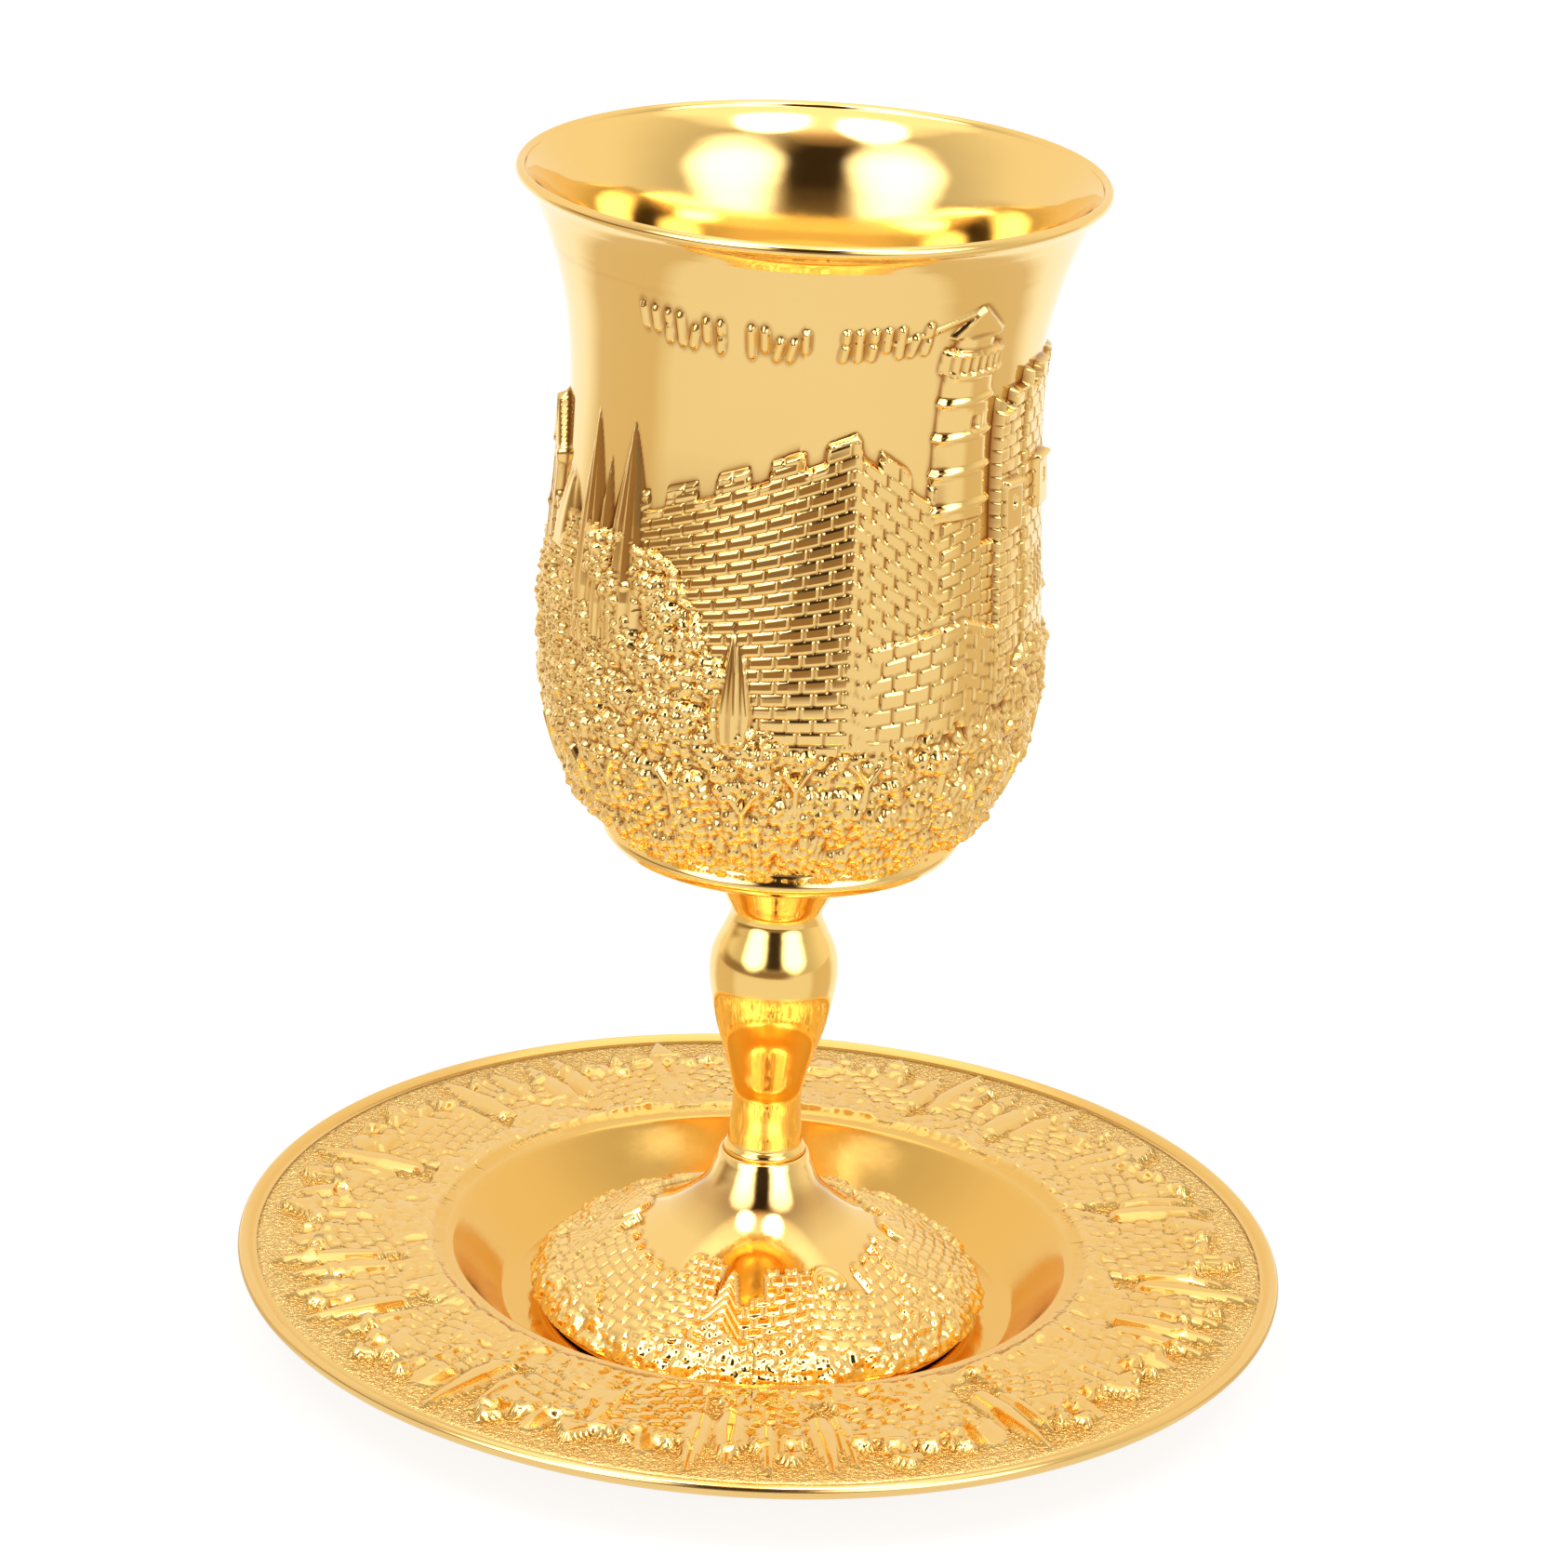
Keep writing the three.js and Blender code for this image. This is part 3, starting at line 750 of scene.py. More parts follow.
def row_table(leaf_rows, course_rows, sky_rows, back_rows=8):
    """Rows as [line below, share of the way to the line above it, 1 if inside the wall]."""
    def spaced_courses(count):
        return (np.arange(count)[:, None] + course_rows).ravel() / count

    strips = [
        np.linspace(0, 1, leaf_rows, endpoint=False), spaced_courses(low_courses),
        spaced_courses(high_courses), np.linspace(0, 1, sky_rows), np.linspace(0, 1, back_rows),
    ]
    rows = [(line, share, line == 4) for line, strip in enumerate(strips) for share in strip]
    return np.array([*rows, (0, 0, 0)], float)


def town_skin(name, angle_from, angle_to, columns, rows):
    """The town between two angles, each row of it on its own line round the bowl."""
    def place(across, up):
        angle = angle_from + (angle_to - angle_from) * across
        line, share, behind_wall = rows[np.round(up * (len(rows) - 1)).astype(int)].T
        lines = np.vstack(np.broadcast_arrays(
            ring_tall, wall_foot, line_at(angle, terrace_line), line_at(angle, battlement_line),
            skin_top, ring_tall + 1.5,
        ))
        line, spot = line.astype(int), np.arange(len(angle))
        height = lines[line, spot] * (1 - share) + lines[line + 1, spot] * share
        slope = (bell_radius(height + 0.05) - bell_radius(height - 0.05)) / 0.1
        lift = np.where(behind_wall > 0, -skin_thick, town(angle, height)) / np.sqrt(1 + slope**2)
        return placed(angle, bell_radius(height) + lift, bowl_bottom + height - lift * slope)

    return wrapped_grid(name, columns, len(rows) - 1, place, True)


print("the terrace stands", round(terrace_share, 2), "of the way up the walls")


# %% Carve the town's three pieces
front_columns, back_columns = 262, 250
left_rows = row_table(98, fine_course, 80)
right_rows = row_table(90, even_course, 136)
back_rows = row_table(50, plain_course, 52)
skins = (
    town_skin("bowl_town_left", -90, 0, front_columns, left_rows),
    town_skin("bowl_town_right", 0, 90, front_columns, right_rows),
    town_skin("bowl_town_back", 90, 270, back_columns, back_rows),
)
for piece in skins:
    print(piece.name, triangles(piece), "triangles")

# %% [markdown]
# ## The stem
#
# The stem is turned: a flared head under the bowl, a neck, a bulb like a pear and a waist
# that spreads to its foot. It is polished all over, so a spun outline is all it needs.

# %% Turn the stem
stem_low, stem_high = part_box("stem")
stem_bottom = stem_low.z / MM
stem_long = (stem_high.z - stem_low.z) / MM
stem_run = smooth_line(
    [
        (0, 0), (0, 0), (5.0, 0), (5.0, 0), (5.45, 0.008), (5.45, 0.022), (5.1, 0.034),
        (4.95, 0.04), (4.85, 0.07), (4.6, 0.2),
        (5.67, 0.3), (7.29, 0.42), (8.31, 0.53), (8.55, 0.6), (8.11, 0.66), (6.71, 0.73),
        (6.1, 0.78), (7.33, 0.84), (9.18, 0.92), (10.45, 0.99), (10.45, 0.99), (10.4, 1),
        (10.4, 1), (0, 1),
    ],
    8,
)
stem_run[:, 1] = stem_bottom + stem_run[:, 1] * stem_long
stem_steps = 96
stem = turned_piece("stem_turned", stem_run, stem_steps)
print("stem:", triangles(stem), "triangles")

# %% [markdown]
# ## The foot
#
# A polished cone runs out into a low dome that carries more of the town, and the dome is
# hollow underneath. Here the whole piece is one closed grid: up the inside, round the edge,
# over the carved dome and up the cone. The carving reads two numbers, the angle and the
# distance up from the edge, both along the surface.

# %% The foot's outline, measured along itself
foot_low, foot_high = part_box("foot")
foot_bottom = foot_low.z / MM
foot_tall = (foot_high.z - foot_low.z) / MM
foot_radius = 29.6
collar_radius = 5.75
foot_wall = 2.0
seat_depth = 0.7
foot_outline = smooth_line(
    [
        (foot_radius - 0.5, 0), (foot_radius, 0.03), (foot_radius - 0.5, 0.12),
        (foot_radius - 2.0, 0.2), (foot_radius - 5.8, 0.3), (foot_radius - 9.6, 0.4),
        (collar_radius + 7.3, 0.57), (collar_radius + 2.7, 0.75), (collar_radius + 0.7, 0.93),
        (collar_radius + 0.2, 0.99),
    ],
    12,
)
foot_outline[:, 1] = foot_bottom + foot_outline[:, 1] * foot_tall
foot_along = np.concatenate([[0], np.cumsum(np.hypot(*np.diff(foot_outline, axis=0).T))])
print("foot:", round(foot_along[-1], 1), "mm from edge to collar")

# %% [markdown]
# ### The houses on the foot
#
# The foot's town is looser: fanned brick walls, small humped roofs and a gable with a
# herringbone, over a border of pebbly leaves. Their tops make the wavy edge where the
# polished cone begins.

# %% Carve the foot
foot_walls = [
    # from, to, top at both ends, tilt of the courses in mm, stand-out in mm
    (-78, -24, 17.5, 15.0, 3.0, 0.62),
    (-34, -16, 19.5, 19.5, 0.0, 0.8),
    (-12, 18, 12.5, 15.5, -2.0, 0.7),
    (4, 24, 18.6, 18.6, 0.0, 0.55),
    (18, 46, 15.0, 13.0, 2.5, 0.7),
    (46, 82, 17.0, 19.0, -2.0, 0.6),
    (82, 112, 14.5, 17.0, 3.0, 0.65),
    (112, 140, 18.5, 18.5, 0.0, 0.6),
    (140, 176, 14.0, 17.5, -3.0, 0.7),
    (176, 200, 18.8, 18.8, 0.0, 0.55),
    (200, 236, 17.0, 13.5, 3.0, 0.65),
    (236, 262, 17.8, 17.8, 1.0, 0.6),
    (262, 282, 13.5, 16.0, -2.0, 0.7),
]
foot_humps = [(-26, 9.5, 4.0, 3.2), (31, 15.5, 3.6, 2.6), (98, 15, 3.8, 3), (158, 14, 4, 3),
              (214, 14.5, 3.8, 3), (256, 16, 3.6, 2.8)]
foot_gables = [(-11, 6.0, 18.5, 3.4), (66, 8.0, 19.0, 3.2), (128, 8, 19.5, 3.3),
               (188, 8, 19.5, 3.3), (272, 8, 19, 3.2)]
foot_leaf_line = [
    (-25, 4), (-14, 9.5), (0, 4), (45, 5), (62, 13), (80, 5), (150, 5), (165, 11), (180, 5),
    (240, 5), (250, 12), (262, 5),
]
foot_bricks_a_turn = 56
foot_wall_radius, foot_leaf_radius = 22, 26
foot_brick_mm = math.tau * foot_wall_radius / foot_bricks_a_turn
foot_course_mm = 1.65


def foot_relief(angle, along, radius):
    """How far the carving stands out, in mm, at a distance up from the foot's edge."""
    relief = np.zeros(angle.shape)
    bricks_on = angle / 360 * foot_bricks_a_turn % foot_bricks_a_turn
    for start, end, top_a, top_b, tilt, out in foot_walls:
        share = past(angle, start) / (end - start)
        top = top_a + (top_b - top_a) * np.clip(share, 0, 1)
        top = top + 0.9 * merlons(angle, 9, start + 1, 5)
        course = (along + tilt * (share - 0.5)) / foot_course_mm
        laid = bricks(bricks_on, course, foot_brick_mm, foot_course_mm, 0.1, 0.8, 0.3)
        carved = (1.25 * out + 0.34 * (laid - 1)) * soft_step((top - along) / 0.4)
        relief = np.where(share <= 1, np.maximum(relief, carved), relief)
    for centre, low, tall, half in foot_humps:
        away = np.hypot(beside(angle, centre, radius) / half, (along - low) / tall)
        scroll = 0.75 + 0.22 * np.cos(away * 14)
        dome = np.sqrt(np.clip(1 - away**2, 0, 1)) * 0.4 + scroll * (away < 1) * 0.55
        relief = np.where((away < 1) & (along > low - 0.3), np.maximum(relief, dome), relief)
    for centre, low, high, half in foot_gables:
        x = beside(angle, centre, radius)
        y = (along - low) / (high - low)
        bars = 0.5 + 0.5 * np.cos((along * 1.1 + np.abs(x) * 1.6) * math.tau / 1.5)
        carved = 0.78 + 0.2 * bars + 0.15 * band(x, 0, 0.3)
        inside_it = (np.abs(x) < half * np.clip(1.05 - y, 0, 1)) & (y > 0) & (y < 1)
        relief = np.where(inside_it, np.maximum(relief, carved), relief)
    reach = 5.2 + 1.8 * np.sin(np.radians(angle) * 5 + 1) + 1.4 * np.sin(np.radians(angle) * 11)
    reach = np.maximum(reach, line_at(angle, foot_leaf_line))
    ragged = 2.0 * (leaves(angle, along, foot_leaf_radius, 1.5, 30) - 0.4)
    cover = soft_step((reach + ragged - along) / 0.5)
    thick = 0.2 + 0.85 * leaves(angle, along, foot_leaf_radius, 1.1, 40)
    relief = relief * (1 - cover) + np.maximum(thick, 0.5 * relief) * cover
    return relief * soft_step((along - 0.9) / 1.0)


print(len(foot_walls), "walls,", len(foot_humps), "roofs and", len(foot_gables), "gables")

# %% Wrap the foot's closed grid
# the grid's last row in the hollow, under the edge, on the dome, on the cone and in the collar
hollow_end, edge_end, dome_end, cone_end, collar_end = 7, 9, 108, 120, 126
dome_along = 23.0
foot_top = foot_bottom + foot_tall
foot_hollow = [
    (0, foot_bottom + 0.52 * foot_tall), (14.9, foot_bottom + 0.36 * foot_tall),
    (21.8, foot_bottom + 0.2 * foot_tall), (foot_radius - foot_wall, foot_bottom + 1.8),
    (foot_radius - foot_wall, foot_bottom),
]
foot_collar = [
    (collar_radius + 0.2, foot_top - 0.22), (collar_radius, foot_top),
    (collar_radius - 0.25, foot_top), (collar_radius - 0.3, foot_top - seat_depth),
    (0, foot_top - seat_depth),
]


def line_through(points, share, marks=None):
    """Radii and levels on a line of points, which lie at marks, or evenly from 0 to 1."""
    marks = np.linspace(0, 1, len(points)) if marks is None else marks
    return np.array([np.interp(share, marks, column) for column in np.transpose(points)])


def foot_place(across, up):
    """Up the hollow, out under the edge, in over the dome and up the cone to the collar."""
    angle = across * 360
    row = up * collar_end
    on_dome = np.clip((row - edge_end) / (dome_end - edge_end), 0, 1)
    on_cone = np.clip((row - dome_end) / (cone_end - dome_end), 0, 1)
    along = on_dome * dome_along + on_cone * (foot_along[-1] - dome_along)
    radius, level = line_through(foot_outline, along, foot_along)
    run, rise = (line_through(foot_outline, along + 0.2, foot_along)
                 - line_through(foot_outline, along - 0.2, foot_along))
    lift = foot_relief(angle, along, radius) * (row > edge_end) / np.hypot(run, rise)
    edge = [foot_hollow[-1], foot_outline[0]]
    return placed(angle, *np.select(
        [row <= hollow_end, row <= edge_end, row <= cone_end],
        [
            line_through(foot_hollow, row / hollow_end),
            line_through(edge, (row - hollow_end) / (edge_end - hollow_end)),
            np.array([radius + lift * rise, level - lift * run]),
        ],
        line_through(foot_collar, (row - cone_end) / (collar_end - cone_end)),
    ))


foot_columns = 600
foot = wrapped_grid("foot_carved", foot_columns, collar_end, foot_place)
print("foot:", triangles(foot), "triangles")

# %% [markdown]
# ## The saucer
#
# The saucer has a flat floor that the foot stands on, a polished hollow round it, and a wide
# border with the town again, its roofs pointing outward, on a finely stippled ground inside
# a rolled edge. It is one closed grid too, from the middle of its underside round to the
# middle of its floor.

# %% The saucer's outline
saucer_radius = 70.0
bead_radius = 1.0
floor_radius = 34.0
saucer_floor = 2.0
base_radius = 33.0
well_radius = 41.2
flange_level = 10.4
flange_thick = 1.5
border_width = 2.4
flange_inner = well_radius + border_width
flange_outer = saucer_radius - border_width
bead_middle = (saucer_radius - bead_radius, flange_level - bead_radius / 2)
bead = [
    (bead_middle[0] + bead_radius * math.sin(share * math.pi),
     bead_middle[1] - bead_radius * math.cos(share * math.pi))
    for share in np.linspace(0.08, 0.97, 12)
]
underneath = smooth_line(
    [
        (0, 0.6), (0, 0.6), (base_radius - 4.5, 0.6), (base_radius - 4.5, 0.6),
        (base_radius - 3.5, 0), (base_radius - 3.5, 0), (base_radius, 0), (base_radius, 0),
        (well_radius, flange_level - flange_thick), (well_radius, flange_level - flange_thick),
        (saucer_radius - 1.6 * bead_radius, flange_level - flange_thick),
    ],
    3,
)
well = smooth_line(
    [
        (well_radius + 1.2, flange_level), (well_radius + 0.3, flange_level - 0.15),
        (well_radius - 0.6, flange_level - 1.1),
        (0.5 * (well_radius + floor_radius), saucer_floor + 3.6),
        (floor_radius + 1.1, saucer_floor + 0.85), (floor_radius + 0.2, saucer_floor + 0.15),
        (floor_radius - 0.6, saucer_floor), (floor_radius - 0.6, saucer_floor), (0, saucer_floor),
    ],
    3,
)
print("saucer:", len(underneath), "rows below,", len(well), "in the well")

# %% [markdown]
# ### The towns on the border
#
# Five towns of 72 degrees follow each other, their roofs pointing outward. Each has the
# cypress, the dome and the gate tower of the CAD solid, and walls, smaller roofs and leaves
# between them, varied from town to town so that they don't look stamped. The relief is lower
# and softer than the bowl's.

# %% Carve the border
saucer_towns = 5
town_turn = 360 / saucer_towns
border_deep = flange_outer - flange_inner
border_walls = [
    # from, to, top at both ends, tilt of the courses, stand-out
    (-4, 8, 15.5, 13.0, -2.5, 0.62),
    (12, 27, 14.0, 18.0, 3.0, 0.78),
    (24, 32, 15.0, 14.0, -1.5, 0.6),
    (38, 50, 17.5, 13.0, -3.5, 0.8),
    (48, 58, 14.5, 17.0, 1.5, 0.66),
    (56, 66, 12.5, 16.0, 3.0, 0.76),
]
border_trees = [(9, 0.3, 0.98, 2.5), (13, 0.3, 0.88, 2.0), (34, 0.25, 0.95, 2.6),
                (37.5, 0.35, 0.84, 1.8), (65, 0.3, 0.97, 2.3), (69, 0.25, 0.9, 2.7),
                (2, 0.4, 0.92, 1.9)]
border_domes = [(29, 0.56, 0.86, 4.2), (45, 0.62, 0.88, 2.6), (60, 0.55, 0.82, 3.0)]
border_gates = [(51, 0.13, 0.9, 2.8), (19, 0.5, 0.93, 2.1), (41, 0.5, 0.88, 1.9),
                (5, 0.45, 0.85, 1.8)]
# each kind of figure and its depth in mm
border_figures = [(border_domes, cupola, 1.2), (border_gates, gate_tower, 1.25),
                  (border_trees, flame, 1.2)]
border_bricks_a_turn = 120
border_brick_mm, border_course_mm = 3.0, 2.1
border_leaf_radius = 50


def border_relief(angle, out):
    """Height of the border's carving in mm, out being the mm from its inner edge."""
    town_number = np.floor((angle % 360) / town_turn)
    within = angle % town_turn
    radius = flange_inner + out
    relief = np.zeros(angle.shape)
    for i, (start, end, top_a, top_b, tilt, stand) in enumerate(border_walls):
        change = 2.4 * (pick(town_number, i, 12) - 0.5)
        share = ((within - start) % town_turn) / (end - start)
        knobs = merlons(within, 4.0, start + 0.4, 2.6)
        top = top_a + (top_b - top_a) * np.clip(share, 0, 1) + change + 1.9 * knobs
        course = (out + tilt * (share - 0.5)) / border_course_mm
        laid = bricks(angle / 360 * border_bricks_a_turn, course, border_brick_mm,
                      border_course_mm, 0.1, 1.0, 0.42)
        edge = soft_step((top - out) / 0.7)
        knob = 0.75 * knobs * soft_step((out - top + 2.9) / 1.0)
        sides = soft_step(np.minimum(share, 1 - share) * (end - start) / 0.5)
        carved = (1.25 * stand + 0.42 * (laid - 1) + knob) * edge * (0.35 + 0.65 * sides)
        relief = np.where(share <= 1, np.maximum(relief, carved), relief)
    for figures, shape, depth in border_figures:
        for i, (centre, low, high, half) in enumerate(figures):
            nudge = 1.6 * (pick(town_number, i + 20, 13) - 0.5)
            stretch = 1 + 0.16 * (pick(town_number, i + 30, 13) - 0.5)
            x = np.radians(within - centre - nudge) * radius
            y = (out / border_deep - low) / (high - low) / stretch
            relief = np.maximum(relief, depth * shape(x, y, half))
    reach = 4.6 + 2.4 * np.sin(np.radians(angle) * 15 + 1) + 2.0 * np.sin(np.radians(angle) * 7)
    ragged = 3.0 * (leaves(angle, out, border_leaf_radius, 2.4, 50) - 0.4)
    cover = soft_step((reach + ragged - out) / 0.8)
    thick = 0.1 + 0.6 * leaves(angle, out, border_leaf_radius, 1.9, 60)
    relief = relief * (1 - 0.75 * cover) + thick * cover
    return relief * soft_step(out / 0.8) * soft_step((border_deep - out) / 0.6)


print("each town spans", town_turn, "degrees and", round(border_deep, 1), "mm")

# %% Wrap the saucer's closed grid
turned_up = len(underneath) + len(bead)
relief_rows = 78
well_from = turned_up + relief_rows
saucer_rows = well_from + len(well)
saucer_columns = 780
plain_rows = np.vstack([underneath, bead, np.zeros((relief_rows, 2)), well])


def ground_level(out):
    """Level of the border's bare ground, out being the mm from its inner edge."""
    return flange_level - 0.3 * soft_step((out - 1.5) / 1.5)


def saucer_place(across, up):
    """Out underneath, up round the bead, in over the border and down the well to the middle."""
    angle = across * 360
    row = np.round(up * saucer_rows)
    out = (1 - np.clip((row - turned_up) / relief_rows, 0, 1)) * (border_deep + 0.9)
    carved = ground_level(out) + border_relief(angle, np.clip(out, 0, border_deep))
    radius, level = plain_rows[np.minimum(row, saucer_rows - 1).astype(int)].T
    on_border = (row >= turned_up) & (row < well_from)
    return placed(angle, np.where(on_border, flange_inner + out, radius),
                  np.where(on_border, carved, level))


saucer = wrapped_grid("saucer_carved", saucer_columns, saucer_rows - 1, saucer_place)
print("saucer:", triangles(saucer), "triangles")

# %% Mark the bare ground of the border, which is stippled
def mark_points(piece, name, values):
    """Store a number from 0 to 1 for each point of a piece."""
    piece.data.attributes.new(name, "FLOAT", "POINT").data.foreach_set("value", values)


spots = np.array([point.co for point in saucer.data.vertices]) / MM
out = np.hypot(spots[:, 0], spots[:, 1]) - flange_inner
over_ground = spots[:, 2] - ground_level(out)
bare = soft_step((0.3 - over_ground) / 0.2) * soft_step((0.3 - over_ground) * 9)
bare = bare * soft_step(out / 0.6) * soft_step((border_deep - out) / 0.6)
mark_points(saucer, "stipple", bare)
print("stippled share of the points:", round(float(bare.mean()), 2))

# %% [markdown]
# ### Painted shade in the hollows
#
# The real plating looks brown in its hollows, where light is thrown from gold to gold before it
# comes out. Here that brown is painted into the colour: painted shade and painted gold-on-gold
# reflection. So each point is given a number that tells how far it lies below its
# surroundings: the surface is evened out step by step, and what it has risen at a point is
# how deep that point lay.

# %% Measure how deep each point lies
def painted_hollow_shade_of(piece, fine=(6, 0.09, 0.6), broad=(40, 0.4, 0.6), top=1000):
    """The painted shade of each point, from 0 to 1, by how deep it lies.
    fine and broad are (steps, depth in mm, share).

    Over the level top, in mm, the piece sinks into another one and no shade is painted.
    """
    mesh = piece.data
    count = len(mesh.vertices)
    spots, normals = np.empty(count * 3), np.empty(count * 3)
    mesh.vertices.foreach_get("co", spots)
    mesh.vertices.foreach_get("normal", normals)
    spots, normals = spots.reshape(-1, 3) / MM, normals.reshape(-1, 3)
    pairs = np.empty(len(mesh.edges) * 2, dtype=np.int32)
    mesh.edges.foreach_get("vertices", pairs)
    one, other = pairs[0::2], pairs[1::2]
    neighbours = np.bincount(one, minlength=count) + np.bincount(other, minlength=count)
    even = spots.copy()
    hollow = np.zeros(count)
    for step in range(1, broad[0] + 1):
        even = np.column_stack([
            np.bincount(one, even[other, axis], count) + np.bincount(other, even[one, axis], count)
            for axis in range(3)
        ]) / neighbours[:, None]
        for steps, depth, share in (fine, broad):
            if step == steps:
                below = ((even - spots) * normals).sum(axis=1)
                hollow += share * np.clip(below / depth - 0.25, 0, 1)
    hollow = np.clip(hollow * soft_step((top - spots[:, 2]) / 0.6), 0, 1)
    print(piece.name, "points in hollows:", round(float((hollow > 0.3).mean()), 2))
    return hollow


# painted shade in the hollows of the town's skins and of the foot
for piece in skins:
    mark_points(piece, "hollow", painted_hollow_shade_of(piece, top=bowl_bottom + skin_top - sink_tall))
mark_points(foot, "hollow", painted_hollow_shade_of(foot, broad=(40, 0.4, 0.3)))

# %% Darken the saucer's well with painted gold-on-gold reflection
well_bounce_share, well_edge = 0.8, 3
# painted reflection: the well's upward faces take the saucer's hollows tone, for the gold-on-gold
# bounces
upward = np.array([point.normal.z > 0 for point in saucer.data.vertices])
painted_well_bounce = well_bounce_share * soft_step(-out / well_edge) * upward
# painted shade in the hollows of the border
saucer_hollow_shade = painted_hollow_shade_of(saucer, broad=(40, 0.4, 0.15))
mark_points(saucer, "hollow", np.maximum(saucer_hollow_shade, painted_well_bounce))
print("points of the well:", int((painted_well_bounce > 0.4).sum()))

# %% Let every piece ride on the frame and stand for its CAD node
stand_ins = {"bowl": bowl, "stem": stem, "foot": foot, "saucer": saucer}
for node, piece in stand_ins.items():
    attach(piece, "root")
    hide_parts(node)
for piece in skins:
    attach(piece, "root")
print(len(stand_ins), "pieces stand for CAD nodes, and", len(skins), "skins ride with them")

# %% [markdown]
# ## Gold
#
# Polished gold plating is a bare metal: its colour is all in what it reflects, so the Base
# Color is the plating's own reflectance. Two things keep it from looking like a computer's
# gold: a slow drift in tone, and fingermarks and polishing haze that change the roughness.
# Both are used by every finish here, so they are one node group. Each finish then turns to a
# deeper tone where the points are marked as hollow: painted shade in the recesses. One short
# helper adds a node, sets its numbers and wires its sockets, which keeps every finish readable
# as a list.

# %% Short helpers for nodes
def feed(tree, node, inputs):
    """Set a node's sockets to numbers or colours, or wire them to other nodes' outputs."""
    for socket, value in dict(inputs).items():
        if isinstance(value, bpy.types.NodeSocket):
            tree.links.new(value, node.inputs[socket])
        else:
            node.inputs[socket].default_value = value


def add_node(tree, kind, inputs=(), **settings):
    """Add a shader node with its settings, feed its inputs and return it."""
    node = tree.nodes.new("ShaderNode" + kind)
    for name, value in settings.items():
        setattr(node, name, value)
    feed(tree, node, inputs)
    return node


def maths(tree, operation, *numbers):
    """The value of a Math node on sockets and numbers."""
    return add_node(tree, "Math", dict(enumerate(numbers)), operation=operation).outputs["Value"]


def mixed(tree, share, first, second):
    """A colour that goes from the first to the second one by a share."""
    inputs = {"Factor": share, "A": first, "B": second}
    return add_node(tree, "Mix", inputs, data_type="RGBA").outputs["Result"]


def grain_of(tree, inputs):
    """Noise in the piece's own coordinates, with its numbers given as inputs."""
    spot = add_node(tree, "TexCoord").outputs["Object"]
    return add_node(tree, "TexNoise", {"Vector": spot, **inputs}).outputs["Fac"]


def stretched(tree, source, start, end):
    """0 where the source is at start, 1 where it is at end."""
    inputs = {"Value": source, "From Min": start, "From Max": end}
    return add_node(tree, "MapRange", inputs).outputs["Result"]


print("helpers: feed, add_node, maths, mixed, grain_of, stretched")

# %% Build the plating group
plating = bpy.data.node_groups.new("gold_plating", "ShaderNodeTree")
for label, kind, side, value in (
    ("Tone", "Color", "INPUT", (0.95, 0.7, 0.29, 1)),
    ("Deep tone", "Color", "INPUT", (0.88, 0.58, 0.2, 1)),
    ("Polish", "Float", "INPUT", 0.07),
    ("Haze", "Float", "INPUT", 0.1),
    ("Color", "Color", "OUTPUT", (0.8, 0.8, 0.8, 1)),
    ("Roughness", "Float", "OUTPUT", 0.0),
):
    plating.interface.new_socket(
        label, in_out=side, socket_type="NodeSocket" + kind
    ).default_value = value
given = plating.nodes.new("NodeGroupInput").outputs
drift = stretched(plating, grain_of(plating, {"Scale": 28, "Detail": 3}), 0.4, 0.9)
smears = grain_of(plating, {"Scale": 90, "Detail": 6, "Roughness": 0.65})
haze = maths(plating, "MULTIPLY_ADD", stretched(plating, smears, 0.45, 0.8), given["Haze"],
             given["Polish"])
feed(plating, plating.nodes.new("NodeGroupOutput"),
     {"Color": mixed(plating, drift, given["Tone"], given["Deep tone"]), "Roughness": haze})
print("plating:", len(plating.nodes), "nodes")


# %% Make a gold finish
grain_depth = 0.0002


def gold(name, tone, deep_tone, polish, haze, grain_scale, grain_strength, hollows):
    """A plated metal with its own tone and polish, and a very fine unevenness.

    hollows is the painted shade tone it turns to where the points are marked as hollow.
    """
    material = bpy.data.materials.new(name)
    material.use_nodes = True
    tree = material.node_tree
    plate = add_node(tree, "Group", {
        "Tone": (*tone, 1), "Deep tone": (*deep_tone, 1), "Polish": polish, "Haze": haze,
    }, node_tree=plating).outputs
    bump = add_node(tree, "Bump", {
        "Strength": grain_strength, "Distance": grain_depth,
        "Height": grain_of(tree, {"Scale": grain_scale, "Detail": 4}),
    })
    # painted shade: the base colour turns to the hollows tone where the points are marked as hollow
    hollow = add_node(tree, "Attribute", attribute_name="hollow").outputs["Fac"]
    feed(tree, tree.nodes["Principled BSDF"], {
        "Metallic": 1, "Base Color": mixed(tree, hollow, plate["Color"], (*hollows, 1)),
        "Roughness": plate["Roughness"], "Normal": bump.outputs["Normal"],
    })
    return material


# the last colour of each finish is the painted shade it turns to in the hollows
bell_gold = gold(
    "bell_polish", (0.96, 0.7, 0.28), (0.95, 0.66, 0.24), 0.07, 0.06, 120, 0.05, (0.44, 0.2, 0.05)
)
for piece in (bowl, *skins):
    piece.data.materials.append(bell_gold)
stem.data.materials.append(gold(
    "stem_polish", (0.98, 0.69, 0.24), (0.97, 0.64, 0.18), 0.08, 0.08, 300, 0.06, (0.9, 0.5, 0.1)
))
foot.data.materials.append(gold(
    "foot_cast", (0.97, 0.71, 0.29), (0.95, 0.64, 0.22), 0.08, 0.08, 900, 0.04, (0.64, 0.38, 0.14)
))
saucer_gold = gold(
    "saucer_cast", (0.92, 0.66, 0.27), (0.9, 0.6, 0.21), 0.12, 0.1, 700, 0.04, (0.86, 0.52, 0.13)
)
saucer.data.materials.append(saucer_gold)
